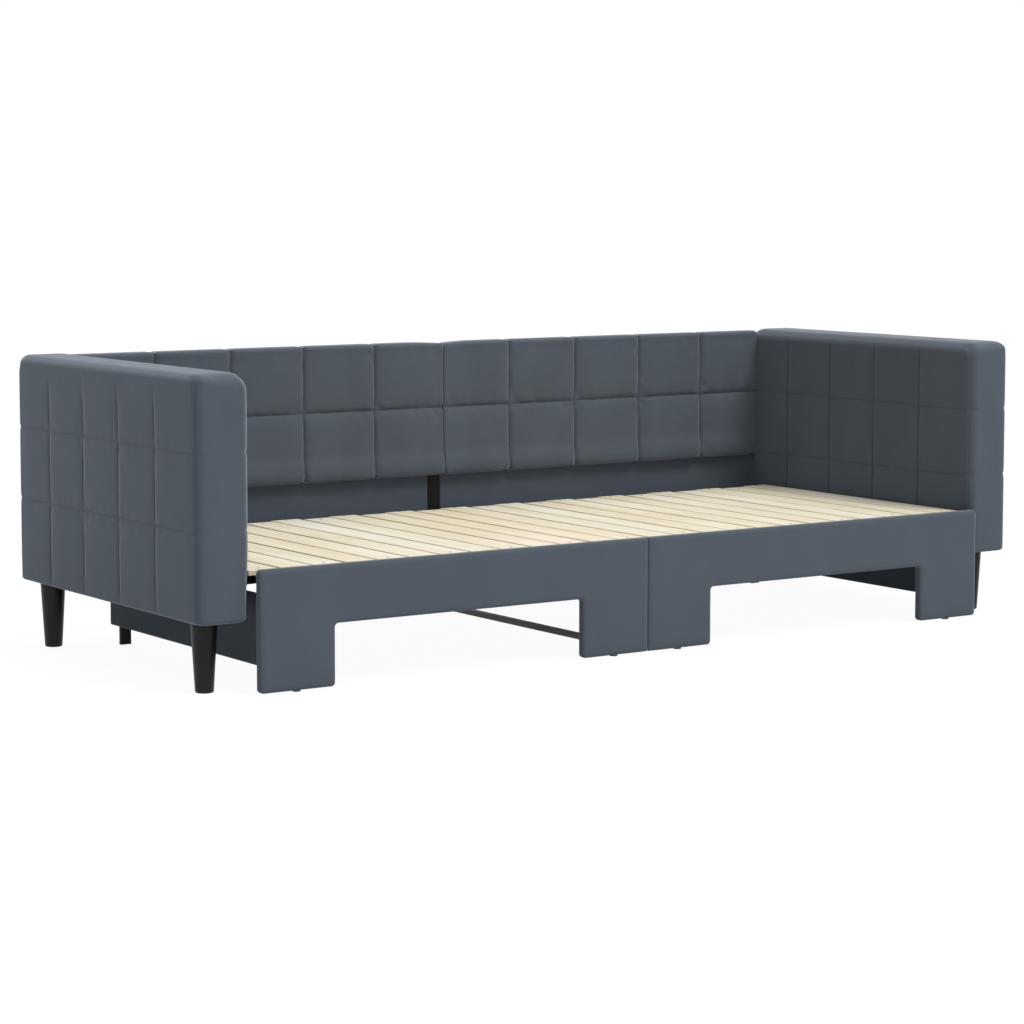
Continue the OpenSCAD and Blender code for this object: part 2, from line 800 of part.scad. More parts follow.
mirror([1, 0, 0]) arm_cover();  // arm_left_cover
mirror([1, 0, 0]) arm_frame();  // arm_left_frame
arm_cover();  // arm_right_cover
arm_frame();  // arm_right_frame
arm_bases();
mirror([1, 0, 0]) leg(leg_ys[0]);  // leg_front_left
leg(leg_ys[0]);  // leg_front_right
mirror([1, 0, 0]) leg(leg_ys[1]);  // leg_rear_left
leg(leg_ys[1]);  // leg_rear_right
leg_studs();
mirror([1, 0, 0]) back_pad();  // back_left_pad
back_pad();  // back_right_pad
back_left_board();
back_right_board();
back_plates();
back_angles();
back_screws();
centre_frame();
fixed_beam(front_beam_y, fixed_screw_ys[0]);  // front_beam
fixed_beam(rear_beam_y, fixed_screw_ys[1]);  // rear_beam
beam_brackets();
bracket_bolts();
fixed_slat_screws();
for (k = [0 : len(fixed_slats) - 1])
    fixed_slat(k);
front_panel_left();
front_panel_right();
panel_joint_plate();
front_ledger();
mirror([1, 0, 0]) side_board();  // side_board_left
side_board();  // side_board_right
corner_angles();
rear_rail();
rear_posts();
floor_glides();
pull_out_screws();
moving_slat_screws();
for (k = [0 : len(moving_slats) - 1])
    moving_slat(k);
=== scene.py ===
"""Dresses the frame of a velvet day bed with a pull-out slatted trundle.

Metres; X runs along the bed, Y to its back and Z up, with the floor at Z = 0. Sizes that the
frame fixes are read from its parts, and the rest are the properties below.
"""

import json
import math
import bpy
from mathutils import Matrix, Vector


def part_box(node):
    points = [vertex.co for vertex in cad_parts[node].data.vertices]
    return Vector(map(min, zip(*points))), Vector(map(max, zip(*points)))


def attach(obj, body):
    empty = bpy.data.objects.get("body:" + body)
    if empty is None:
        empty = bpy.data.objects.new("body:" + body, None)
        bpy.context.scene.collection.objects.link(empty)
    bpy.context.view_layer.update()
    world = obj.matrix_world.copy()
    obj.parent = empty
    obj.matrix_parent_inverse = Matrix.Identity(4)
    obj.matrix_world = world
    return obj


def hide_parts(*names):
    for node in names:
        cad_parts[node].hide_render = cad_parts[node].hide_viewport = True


bl_info = {
    "name": "Velvet trundle bed",
    "version": (1, 0, 0),
    "blender": (4, 5, 0),
    "location": "View3D > Sidebar > Trundle bed",
    "description": "Quilted velvet, pine slats and black steel for a day bed with a trundle",
    "category": "Add Mesh",
}

import bmesh
import bpy
import numpy as np
from mathutils import Vector

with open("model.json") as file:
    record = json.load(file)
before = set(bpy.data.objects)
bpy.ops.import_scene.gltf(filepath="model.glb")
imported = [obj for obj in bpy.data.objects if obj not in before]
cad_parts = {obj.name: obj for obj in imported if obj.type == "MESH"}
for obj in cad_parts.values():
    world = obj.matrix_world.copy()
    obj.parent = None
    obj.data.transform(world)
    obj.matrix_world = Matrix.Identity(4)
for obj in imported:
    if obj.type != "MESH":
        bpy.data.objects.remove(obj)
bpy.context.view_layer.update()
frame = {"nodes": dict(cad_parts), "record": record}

SIDES = {"left": -1, "right": 1}

# the body that each node of the frame rides on
BODY_OF = {node: body for body, nodes in frame["record"]["behaviour"]["bodies"].items()
           for node in nodes}


def corners(node):
    """Lowest and highest corner of a frame part, as arrays."""
    low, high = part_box(node)
    return np.array(low), np.array(high)


# ---------- sizes and colours ----------


class BedSizes(bpy.types.PropertyGroup):
    """Sizes of the padding and of the rounded edges; the frame fixes all the others"""

    arm_columns: bpy.props.IntProperty(
        name="Arm columns", default=5, min=2, max=9,
        description="Quilted cells along an arm",
    )
    back_columns: bpy.props.IntProperty(
        name="Back columns", default=5, min=2, max=9,
        description="Quilted cells along a back pad",
    )
    row_height: bpy.props.FloatProperty(
        name="Row height", default=0.163, unit="LENGTH",
        description="Height of the quilted rows, counted down from the top of the arms",
    )
    arm_pitch: bpy.props.FloatProperty(
        name="Arm pitch", default=0.1703, unit="LENGTH",
        description="Width of an arm's quilted columns; the foremost takes what is left",
    )
    pads_meet: bpy.props.FloatProperty(
        name="Pads meet", default=0.0045, unit="LENGTH",
        description="How far to the right of the middle the two back pads meet",
    )
    arm_swell: bpy.props.FloatProperty(
        name="Arm swell", default=0.0045, unit="LENGTH",
        description="How far the arms' broad sides swell out over their frame",
    )
    inner_swell: bpy.props.FloatProperty(
        name="Inner swell", default=0.0030, unit="LENGTH",
        description="How much further the arms' inner sides swell out",
    )
    arm_seam_depth: bpy.props.FloatProperty(
        name="Arm seam depth", default=0.0024, unit="LENGTH",
        description="How far the arms' quilting seams sink below the cells",
    )
    back_seam_depth: bpy.props.FloatProperty(
        name="Back seam depth", default=0.0090, unit="LENGTH",
        description="How far the back pads' quilting seams sink below the cells",
    )
    arm_foot_ease: bpy.props.FloatProperty(
        name="Arm foot rounding", default=0.009, unit="LENGTH",
        description="Height of the rounding along the arms' lower edges",
    )
    arm_side_ease: bpy.props.FloatProperty(
        name="Arm side rounding", default=0.019, unit="LENGTH",
        description="Radius of the arms' upright edges",
    )
    arm_top_ease: bpy.props.FloatProperty(
        name="Arm top rounding", default=0.028, unit="LENGTH",
        description="Radius of the arms' upper edges",
    )
    arm_outer_ease: bpy.props.FloatProperty(
        name="Arm outer top rounding", default=0.017, unit="LENGTH",
        description="Width of the rounding along the outer side of an arm's top",
    )
    panel_ease: bpy.props.FloatProperty(
        name="Front panel edge", default=0.012, unit="LENGTH",
        description="Width of the rounding along the front panels' padded edges",
    )
    board_ease: bpy.props.FloatProperty(
        name="Wrapped edge", default=0.0045, unit="LENGTH",
        description="Radius of velvet wrapped round a board's edge",
    )
    metal_ease: bpy.props.FloatProperty(
        name="Metal edge", default=0.0012, unit="LENGTH",
        description="Radius of the steel tubes' and plates' edges",
    )
    slat_ease: bpy.props.FloatProperty(
        name="Slat edge", default=0.0016, unit="LENGTH",
        description="Radius of the planed slats' edges",
    )


class BedColours(bpy.types.PropertyGroup):
    """Colours of the finishes"""

    velvet: bpy.props.FloatVectorProperty(
        name="Velvet", description="Velvet seen along its pile", subtype="COLOR",
        default=(0.0750, 0.0916, 0.1138), min=0, max=1,
    )
    pine: bpy.props.FloatVectorProperty(
        name="Pine", description="Planed slats", subtype="COLOR",
        default=(0.69, 0.640, 0.505), min=0, max=1,
    )
    grain: bpy.props.FloatVectorProperty(
        name="Grain", description="Late wood in the slats", subtype="COLOR",
        default=(0.60, 0.49, 0.31), min=0, max=1,
    )
    timber: bpy.props.FloatVectorProperty(
        name="Timber", description="Frames inside the arms", subtype="COLOR",
        default=(0.55, 0.42, 0.26), min=0, max=1,
    )
    black: bpy.props.FloatVectorProperty(
        name="Black", description="Legs, steel and lining", subtype="COLOR",
        default=(0.009, 0.009, 0.0092), min=0, max=1,
    )
    zinc: bpy.props.FloatVectorProperty(
        name="Zinc", description="Screws and bolts", subtype="COLOR",
        default=(0.60, 0.60, 0.61), min=0, max=1,
    )


def sizes():
    """The sizes in use."""
    return bpy.context.scene.bed_sizes


def colours():
    """The colours in use."""
    return bpy.context.scene.bed_colours


# ---------- node helpers ----------


def feed(tree, value, socket):
    """Links an output to a socket, or sets the socket to a plain value."""
    if isinstance(value, bpy.types.NodeSocket):
        tree.links.new(value, socket)
    else:
        socket.default_value = value


def add_node(tree, kind, settings=None, **values):
    """A node with attributes from settings, whose sockets are fed by name (with underscores
    for blanks) from plain values or outputs."""
    node = tree.nodes.new(kind)
    for key, value in (settings or {}).items():
        setattr(node, key, value)
    for key, value in values.items():
        feed(tree, value, node.inputs[key.replace("_", " ")])
    return node


def mix_colours(tree, share, a, b, blend="MIX"):
    """Mixes two colours by a share, or multiplies them and so on."""
    node = add_node(tree, "ShaderNodeMix", {"data_type": "RGBA", "blend_type": blend})
    for number, value in ((0, share), (6, a), (7, b)):
        feed(tree, value, node.inputs[number])
    return node.outputs[2]


def arithmetic(tree, operation, a, b=0.0):
    """The result of an operation on two numbers, each an output or a plain value."""
    node = add_node(tree, "ShaderNodeMath", {"operation": operation})
    feed(tree, a, node.inputs[0])
    feed(tree, b, node.inputs[1])
    return node.outputs[0]


def plus(tree, a, b):
    return arithmetic(tree, "ADD", a, b)


def minus(tree, a, b):
    return arithmetic(tree, "SUBTRACT", a, b)


def times(tree, a, b):
    return arithmetic(tree, "MULTIPLY", a, b)


def stretched(tree, source, factors):
    """Object coordinates scaled by factors along X, Y and Z."""
    return add_node(tree, "ShaderNodeMapping", Vector=source, Scale=factors).outputs["Vector"]


def noise(tree, vector, scale, detail, roughness=0.5, distortion=0.0):
    """Noise around 0.5, with so many lumps to the metre."""
    return add_node(tree, "ShaderNodeTexNoise", Vector=vector, Scale=scale, Detail=detail,
                    Roughness=roughness, Distortion=distortion).outputs["Fac"]


def spread(tree, value, low, high, to_low, to_high):
    """Maps a value from one range to another, clamped."""
    return add_node(tree, "ShaderNodeMapRange", Value=value, From_Min=low, From_Max=high,
                    To_Min=to_low, To_Max=to_high).outputs["Result"]


def bump(tree, height, strength, distance):
    """A normal tilted by a height that stands out by a distance at full strength."""
    return add_node(tree, "ShaderNodeBump", Height=height, Strength=strength,
                    Distance=distance).outputs["Normal"]


# ---------- shared effects ----------


def effect_group(name, tints, numbers):
    """A shader group with colour inputs, number inputs and their defaults, and the outputs
    Colour, Roughness and Normal. Returns it with its inner inputs, its inner outputs and the
    place on the object."""
    tree = bpy.data.node_groups.new(name, "ShaderNodeTree")
    for label in tints:
        tree.interface.new_socket(label, in_out="INPUT", socket_type="NodeSocketColor")
    for label, default in numbers.items():
        socket = tree.interface.new_socket(label, in_out="INPUT", socket_type="NodeSocketFloat")
        socket.default_value = default
    for label, kind in (("Colour", "Color"), ("Roughness", "Float"), ("Normal", "Vector")):
        tree.interface.new_socket(label, in_out="OUTPUT", socket_type=f"NodeSocket{kind}")
    given = tree.nodes.new("NodeGroupInput").outputs
    made = tree.nodes.new("NodeGroupOutput").inputs
    return tree, given, made, add_node(tree, "ShaderNodeTexCoord").outputs["Object"]


def put_out(tree, made, **results):
    """Links a group's results to its inner outputs, by name."""
    for label, value in results.items():
        tree.links.new(value, made[label])


def pile_group():
    """Velvet pile: broad brushed marks, fine mottling, and the tips of the pile as bump. The
    attribute named seam darkens the pile as painted shade, in its sewn seams and creases."""
    tree, given, made, place = effect_group("Velvet pile", ["Colour"],
                                            {"Brushing": 0.2, "Pile": 0.3})
    brushed = noise(tree, stretched(tree, place, (1.0, 1.0, 0.4)), 7.0, 3.0, 0.55, 0.6)
    mottled = noise(tree, place, 55.0, 3.0, 0.6)
    tips = noise(tree, place, 1500.0, 2.0, 0.6)
    marks = minus(tree, spread(tree, brushed, 0.3, 0.7, 0.0, 1.0), 0.5)
    marks = times(tree, marks, given["Brushing"])
    fine = times(tree, minus(tree, mottled, 0.5), 0.10)
    tip_shade = times(tree, minus(tree, tips, 0.5), 0.14)
    total = plus(tree, plus(tree, marks, fine), tip_shade)
    # painted shade: the velvet's colour is darkened by up to 45 percent where the seam attribute
    # is high
    sewn = add_node(tree, "ShaderNodeAttribute", {"attribute_name": "seam"}).outputs["Fac"]
    painted_seam_shade = minus(tree, 1.0, times(tree, sewn, 0.45))
    level = times(tree, plus(tree, total, 1.0), painted_seam_shade)
    height = plus(tree, tips, times(tree, mottled, 1.5))
    put_out(tree, made,
            Colour=mix_colours(tree, 1.0, given["Colour"], level, "MULTIPLY"),
            Roughness=spread(tree, brushed, 0.3, 0.7, 0.82, 0.95),
            Normal=bump(tree, height, given["Pile"], 0.0006))
    return tree


def grain_group():
    """Planed softwood along Y: growth rings cut lengthwise, each board with its own tint and
    its own stretch of the tree, boards being told apart by their place along X."""
    bleached_wood = (0.80, 0.78, 0.72, 1.0)
    warm_tint = (1.0, 0.96, 0.90, 1.0)
    cool_tint = (0.98, 1.0, 1.0, 1.0)
    tree, given, made, place = effect_group("Planed grain", ["Early wood", "Late wood"],
                                            {"Board width": 0.08, "Contrast": 0.3})
    along_x = add_node(tree, "ShaderNodeSeparateXYZ", Vector=place).outputs["X"]
    board = arithmetic(tree, "DIVIDE", along_x, given["Board width"])
    board = times(tree, arithmetic(tree, "ROUND", board), 1.37)
    chance = add_node(tree, "ShaderNodeTexWhiteNoise", {"noise_dimensions": "1D"}, W=board)
    apart = add_node(tree, "ShaderNodeVectorMath", {"operation": "SCALE"},
                     Vector=chance.outputs["Color"], Scale=9.0)
    moved = add_node(tree, "ShaderNodeVectorMath", {"operation": "ADD"}, Vector=place)
    tree.links.new(apart.outputs[0], moved.inputs[1])
    tree_place = moved.outputs[0]
    rings = noise(tree, stretched(tree, tree_place, (16.0, 0.55, 16.0)), 3.0, 4.0, 0.5, 0.5)
    rings = arithmetic(tree, "FRACT", times(tree, rings, 9.0))
    late = spread(tree, rings, 0.45, 1.0, 0.0, 1.0)
    fibre = noise(tree, stretched(tree, tree_place, (900.0, 14.0, 900.0)), 1.0, 3.0, 0.6)
    share = plus(tree, times(tree, late, given["Contrast"]), times(tree, fibre, 0.22))
    wood = mix_colours(tree, share, given["Early wood"], given["Late wood"])
    bleached = noise(tree, stretched(tree, tree_place, (14.0, 2.2, 14.0)), 1.0, 2.0)
    bleached = spread(tree, bleached, 0.45, 0.75, 0.0, 0.55)
    wood = mix_colours(tree, bleached, wood, bleached_wood)
    tint = mix_colours(tree, chance.outputs["Value"], warm_tint, cool_tint)
    height = plus(tree, fibre, times(tree, late, 0.5))
    put_out(tree, made,
            Colour=mix_colours(tree, 1.0, wood, tint, "MULTIPLY"),
            Roughness=spread(tree, fibre, 0.3, 0.7, 0.55, 0.72),
            Normal=bump(tree, height, 0.25, 0.0004))
    return tree


def coat_group():
    """A thin coat: orange peel as bump, and dust as a slightly paler, rougher bloom in patches;
    more of the same bloom, up to four times the patches' fullest, lies where the surface faces
    up, as painted light on tops."""
    dust_and_top_light = (0.22, 0.22, 0.21, 1.0)
    tree, given, made, place = effect_group(
        "Thin coat", ["Colour"], {"Dust": 0.1, "Texture size": 700.0, "Gloss": 0.4})
    peel = noise(tree, place, given["Texture size"], 2.0)
    patches = spread(tree, noise(tree, place, 9.0, 4.0, 0.65, 0.3), 0.45, 0.75, 0.0, 1.0)
    normal = add_node(tree, "ShaderNodeNewGeometry").outputs["Normal"]
    upward = add_node(tree, "ShaderNodeSeparateXYZ", Vector=normal).outputs["Z"]
    # painted light: faces that point up get up to four times more of the paler bloom
    painted_top_light = spread(tree, upward, 0.5, 1.0, 0.0, 4.0)
    bloom = times(tree, plus(tree, patches, painted_top_light), given["Dust"])
    rough = plus(tree, given["Gloss"], times(tree, bloom, 0.6))
    put_out(tree, made,
            Colour=mix_colours(tree, bloom, given["Colour"], dust_and_top_light),
            Roughness=plus(tree, rough, times(tree, peel, 0.08)),
            Normal=bump(tree, peel, 0.2, 0.0003))
    return tree


# ---------- materials ----------


def material(name, effect, values, shader_values):
    """A material whose Principled shader takes colour, roughness and normal from an effect
    with these values, and has these values on its own sockets."""
    mat = bpy.data.materials.new(name)
    mat.use_nodes = True
    tree = mat.node_tree
    shader = tree.nodes["Principled BSDF"]
    node = add_node(tree, "ShaderNodeGroup", {"node_tree": effect}, **values)
    for output, label in zip(node.outputs, ("Base Color", "Roughness", "Normal")):
        tree.links.new(output, shader.inputs[label])
    for label, value in shader_values.items():
        shader.inputs[label].default_value = value
    return mat


def make_materials():
    """All the finishes by name. Each row holds the material's name, its effect, the effect's
    values and the shader's own."""
    pile, grain, coat = pile_group(), grain_group(), coat_group()
    tone = {key: (*getattr(colours(), key), 1.0) for key in BedColours.__annotations__}
    specular = "Specular IOR Level"
    sheen = {"Sheen Weight": 0.68, "Sheen Roughness": 0.36,
             "Sheen Tint": (0.82, 0.90, 1.0, 1.0), specular: 0.15}
    finishes = {
        "velvet": ("Quilted velvet", pile,
                   {"Colour": tone["velvet"], "Brushing": 0.16, "Pile": 0.35}, sheen),
        "wrapped": ("Wrapped velvet", pile,
                    {"Colour": tone["velvet"], "Brushing": 0.10, "Pile": 0.30}, sheen),
        "pine": ("Planed pine", grain,
                 {"Early wood": tone["pine"], "Late wood": tone["grain"], "Contrast": 0.5},
                 {specular: 0.3}),
        # painted shade: darker wood for the slats' sides, standing for the shade in the gaps
        # between slats
        "sawn": ("Sawn pine edge", grain,
                 {"Early wood": (0.50, 0.40, 0.26, 1.0), "Late wood": (0.30, 0.21, 0.12, 1.0),
                  "Contrast": 0.5}, {specular: 0.2}),
        "timber": ("Sawn timber", grain,
                   {"Early wood": tone["timber"], "Late wood": tone["grain"],
                    "Board width": 0.3, "Contrast": 0.5}, {}),
        "steel": ("Black powder coat", coat,
                  {"Colour": tone["black"], "Dust": 0.02, "Gloss": 0.5}, {specular: 0.12}),
        # painted light: the same black steel made paler, for the floor bar where light falls on
        # it
        "scuffed": ("Scuffed powder coat", coat,
                    {"Colour": (0.070, 0.067, 0.064, 1.0), "Dust": 0.1, "Gloss": 0.5},
                    {specular: 0.45}),
        "leg": ("Black satin paint", coat,
                {"Colour": tone["black"], "Dust": 0.03, "Texture size": 260.0, "Gloss": 0.34},
                {specular: 0.2}),
        "felt": ("Grey felt glide", coat,
                 {"Colour": (0.085, 0.098, 0.118, 1.0), "Dust": 0.1, "Texture size": 1400.0,
                  "Gloss": 0.8}, {specular: 0.1}),
        "lining": ("Black lining", coat,
                   {"Colour": tone["black"], "Dust": 0.1, "Texture size": 1400.0,
                    "Gloss": 0.75}, {}),
        # a brownish plated screw, darkened further to near black brown as painted shade of its
        # countersunk hole
        "yellow_zinc": ("Yellow zinc plate", coat,
                        {"Colour": (0.045, 0.03, 0.02, 1.0), "Dust": 0.02, "Gloss": 0.6},
                        {"Metallic": 0.3, specular: 0.2}),
        "zinc": ("Zinc plate", coat, {"Colour": tone["zinc"], "Dust": 0.1, "Gloss": 0.28},
                 {"Metallic": 1.0}),
    }
    return {key: material(*finish) for key, finish in finishes.items()}


# every finish by its name, made by main before the pieces
FINISHES = {}


# ---------- making pieces ----------


def settle(obj, finish, body, replaced, sharp):
    """Links an object, shades it smooth but for edges of so many degrees and more, and joins
    it to the frame in place of the nodes that it replaces."""
    bpy.context.scene.collection.objects.link(obj)
    obj.data.shade_smooth()
    obj.data.set_sharp_from_angle(angle=math.radians(sharp))
    obj.data.materials.clear()
    obj.data.materials.append(FINISHES[finish])
    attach(obj, body)
    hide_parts(*replaced)
    return obj


def piece(name, points, faces, finish, body, replaced, slot, sharp=60):
    """Makes a piece from arrays of points and faces, with its finish and its body."""
    mesh = bpy.data.meshes.new(name)
    mesh.from_pydata(np.asarray(points).tolist(), [], [list(map(int, f)) for f in faces])
    mesh.update()
    return settle(bpy.data.objects.new(name, mesh), finish, body, replaced, sharp)


def on_side(sign, points, faces):
    """A shape made for the right side as it is, or mirrored for the left, with its faces
    turned round so that they still point outwards."""
    if sign > 0:
        return points, faces
    return points * [-1, 1, 1], [face[::-1] for face in faces]


def quilted_piece(name, node, sign, surface):
    """A stuffed velvet piece from points, quads and how near each point is to a sewn seam,
    from 0 to 1, which the mesh keeps for the velvet's painted shade in its seams."""
    points, quads, seams = surface
    obj = piece(name, *on_side(sign, points, quads), "velvet", "day_bed", [node], "velvet")
    obj.data.attributes.new("seam", "FLOAT", "POINT").data.foreach_set("value", seams)


def grid_quads(number):
    """Quads between neighbours in a grid of point numbers."""
    corners_of_quads = [number[:-1, :-1], number[1:, :-1], number[1:, 1:], number[:-1, 1:]]
    return np.stack(corners_of_quads, -1).reshape(-1, 4)


def block_skin(cuts):
    """The skin of a block as quads: cuts holds the grid planes along X, Y and Z. Each of the
    six sides is the grid of its two other axes. Returns the place of each point in the grid
    and in space, and the quads, which all face outwards."""
    count = [len(c) for c in cuts]
    sheets = []
    for axis in range(3):
        u, v = [a for a in range(3) if a != axis]
        grid_u, grid_v = np.meshgrid(np.arange(count[u]), np.arange(count[v]), indexing="ij")
        for end in (0, count[axis] - 1):
            place = [None, None, None]
            place[axis] = np.full_like(grid_u, end)
            place[u] = grid_u
            place[v] = grid_v
            key = (place[0] * count[1] + place[1]) * count[2] + place[2]
            quads = grid_quads(key)
            sheets.append(quads if (end > 0) == (axis != 1) else quads[:, ::-1])
    keys, quads = np.unique(np.concatenate(sheets), return_inverse=True)
    grid = np.stack(np.unravel_index(keys, count), -1)
    flat = np.stack([cut[grid[:, axis]] for axis, cut in enumerate(cuts)], -1)
    return grid, flat, quads.reshape(-1, 4)


def ring_faces(rings, around):
    """Quads that join each ring of points to the next one. They face outwards where the rings
    run anticlockwise as seen from the first."""
    here = np.arange(rings * around).reshape(rings, around)
    return grid_quads(np.hstack([here, here[:, :1]]))


def rounded(points, low, high, ease_low, ease_high):
    """Rounds a block: each point is drawn to the inner block that lies one ease inside, then
    pushed out again by an ellipsoid whose half axes are the eases. Returns points and normals."""
    inner = np.clip(points, low + ease_low, high - ease_high)
    away = points - inner
    ease = np.where(away < 0, ease_low, ease_high) + 0 * points
    unit = away / ease
    unit /= np.maximum(np.linalg.norm(unit, axis=1, keepdims=True), 1e-9)
    normal = unit / ease
    normal /= np.maximum(np.linalg.norm(normal, axis=1, keepdims=True), 1e-9)
    return inner + unit * ease, normal


def step_up(value, start, end):
    """A smooth rise from 0 at start to 1 at end: 3t^2 - 2t^3."""
    t = np.clip((value - start) / (end - start), 0.0, 1.0)
    return t * t * (3.0 - 2.0 * t)


def spaced(stops, fine=0.0016, coarse=0.0072, reach=0.009, end_reach=0.009):
    """Grid places through all the stops, a fine step apart within reach of a stop and a coarse
    one further off: they lie where the running total of 1 / step passes even shares."""
    runs = []
    for k, (a, b) in enumerate(zip(stops[:-1], stops[1:])):
        x = np.linspace(a, b, 500)
        before = end_reach if k == 0 else reach
        after = end_reach if k == len(stops) - 2 else reach
        gap = np.minimum(x - a - before, b - x - after)
        density = 1.0 / (fine + (coarse - fine) * step_up(gap, 0.0, 0.020))
        total = np.append(0.0, np.cumsum((density[1:] + density[:-1]) / 2 * np.diff(x)))
        shares = np.linspace(0.0, total[-1], max(1, math.ceil(total[-1])) + 1)
        runs.append(np.interp(shares, total, x)[:-1])
    return np.append(np.concatenate(runs), stops[-1])


def across(value, stops):
    """Place of each value in its cell, from -1 to 1, where stops are the cells' borders."""
    stops = np.asarray(stops)
    cell = np.clip(np.searchsorted(stops, value, side="right") - 1, 0, len(stops) - 2)
    return np.clip(2.0 * (value - stops[cell]) / (stops[cell + 1] - stops[cell]) - 1.0, -1.0, 1.0)


def cushion(place, flat, shoulder=0.6):
    """Height of a stuffed cell from 0 at its borders to 1: (1 - |s|^flat)^shoulder."""
    return np.power(np.clip(1.0 - np.abs(place) ** flat, 0.0, 1.0), shoulder)


def gap_to(value, stops):
    """Distance from each value to the nearest stop."""
    return np.min(np.abs(np.asarray(value)[:, None] - np.asarray(stops)[None, :]), axis=1)


def bell(distance, width):
    """1 at no distance, fading as exp(-(distance / width)^2)."""
    return np.exp(-((distance / width) ** 2))


# ---------- stuffed and sewn sheets ----------


def pressed_sheet(stops_u, stops_v, seed, step=0.0075, frames=20):
    """A sheet of velvet sewn down along every stop and pressed out from behind: cloth that is
    a little longer than its place, held at the seams, settles into its own gathers. Returns
    the sheet's grid places and how far it stands out, as a share of its fullest."""
    grid = []
    for stops in (stops_u, stops_v):
        runs = [np.linspace(a, b, round((b - a) / step) + 1)[:-1]
                for a, b in zip(stops[:-1], stops[1:])]
        grid.append(np.append(np.concatenate(runs), stops[-1]))
    u, v = np.meshgrid(*grid, indexing="ij")
    slack = np.random.default_rng(seed).uniform(0.0, 0.0006, u.shape)
    points = np.stack([u, v, slack], -1).reshape(-1, 3)
    quads = grid_quads(np.arange(u.size).reshape(u.shape))
    mesh = bpy.data.meshes.new("Sheet")
    mesh.from_pydata(points.tolist(), [], quads.tolist())
    sheet = bpy.data.objects.new("Sheet", mesh)
    bpy.context.scene.collection.objects.link(sheet)
    sewn = np.isclose(u[..., None], stops_u).any(-1) | np.isclose(v[..., None], stops_v).any(-1)
    sheet.vertex_groups.new(name="seams").add(np.flatnonzero(sewn).tolist(), 1.0, "REPLACE")
    cloth = sheet.modifiers.new("Cloth", "CLOTH")
    cloth.settings.vertex_group_mass = "seams"
    cloth.settings.use_pressure = True
    cloth.settings.uniform_pressure_force = 4.0
    cloth.settings.shrink_min = -0.015
    cloth.settings.bending_stiffness = 2.0
    cloth.settings.effector_weights.gravity = 0.0
    cloth.collision_settings.use_collision = False
    cloth.point_cache.frame_start = 1
    cloth.point_cache.frame_end = frames
    for number in range(1, frames + 1):
        bpy.context.scene.frame_set(number)
    settled = sheet.evaluated_get(bpy.context.evaluated_depsgraph_get())
    places = np.empty(3 * u.size)
    settled.data.vertices.foreach_get("co", places)
    bpy.data.objects.remove(sheet)
    bpy.context.scene.frame_set(1)
    out = np.clip(places.reshape(*u.shape, 3)[..., 2], 0.0, None)
    wide = np.pad(out, 1, mode="edge")
    out = (2 * out + wide[:-2, 1:-1] + wide[2:, 1:-1] + wide[1:-1, :-2] + wide[1:-1, 2:]) / 6
    out[sewn] = 0.0
    return (*grid, out / np.percentile(out, 97))


def looked_up(grid_u, grid_v, field, u, v):
    """A field between its grid places: each value is a cubic blend of its 4 by 4 neighbours,
    whose weights make the curve pass through the grid values without a kink."""
    place_u = np.interp(u, grid_u, np.arange(len(grid_u)))
    place_v = np.interp(v, grid_v, np.arange(len(grid_v)))
    cell_u = np.clip(place_u.astype(int), 0, len(grid_u) - 2)
    cell_v = np.clip(place_v.astype(int), 0, len(grid_v) - 2)

    def weights(t):
        return [(-t + 2 * t**2 - t**3) / 2, (2 - 5 * t**2 + 3 * t**3) / 2,
                (t + 4 * t**2 - 3 * t**3) / 2, (-(t**2) + t**3) / 2]

    wide = np.pad(field, 1, mode="edge")
    across_u, across_v = weights(place_u - cell_u), weights(place_v - cell_v)
    return sum(across_u[a] * across_v[b] * wide[cell_u + a, cell_v + b]
               for a in range(4) for b in range(4))


def quilt(u, v, stops_u, stops_v, seed, firmness, slope):
    """How far a quilted panel has risen at places u and v: 0 on its seams, up to 1 on its
    cells. The stuffing behind flattens each cell: a share rises steeply beside the seam, as
    tanh(firmness * how full the sheet is), and the rest as gently as the slope says."""
    full = np.clip(looked_up(*pressed_sheet(stops_u, stops_v, seed), u, v), 0.0, None)
    return (1.0 - slope) * np.tanh(firmness * full) + slope * np.tanh(1.6 * full)


def frame_line(u, v, low, high, radius):
    """Distance from places u, v to a rectangle with round corners, below 0 inside it."""
    middle = (np.array(low) + high) / 2
    over = np.abs(np.stack([u, v], -1) - middle) - ((np.array(high) - low) / 2 - radius)
    return (np.linalg.norm(np.clip(over, 0.0, None), axis=-1)
            + np.clip(over.max(axis=-1), None, 0.0) - radius)


# ---------- arms ----------


def arm_block(low, high, columns, rows, folds):
    """The right arm as a rounded block with extra grid planes at the folds, counted in from
    its sides. Towards the top the inner side and the ends grow rounder, the ends most, while
    the outer side and the outer half of the top grow tighter. Returns grid places, flat and
    rounded points, normals and quads."""
    s = sizes()
    ease = max(s.arm_side_ease, s.arm_top_ease)
    cut_x, cut_y = (np.union1d(spaced(stops, end_reach=ease),
                               [stops[0] + f for f in folds] + [stops[-1] - f for f in folds])
                    for stops in ([low[0], high[0]], columns))
    grid, flat, quads = block_skin([cut_x, cut_y, spaced(rows, end_reach=ease)])
    crowning = step_up(flat[:, 2], high[2] - 1.5 * s.arm_top_ease, high[2])
    inner, ends, outer = (s.arm_side_ease + (top - s.arm_side_ease) * crowning
                          for top in (s.arm_top_ease, 1.4 * s.arm_top_ease, s.arm_outer_ease))
    foot = np.full_like(inner, s.arm_foot_ease)
    over = step_up(flat[:, 0], (low[0] + high[0]) / 2, high[0] - s.arm_top_ease)
    crown = s.arm_top_ease + (s.arm_outer_ease - s.arm_top_ease) * over
    points, normals = rounded(flat, low, high, np.stack([inner, ends, foot], -1),
                              np.stack([outer, ends, crown], -1))
    return grid, flat, points, normals, quads


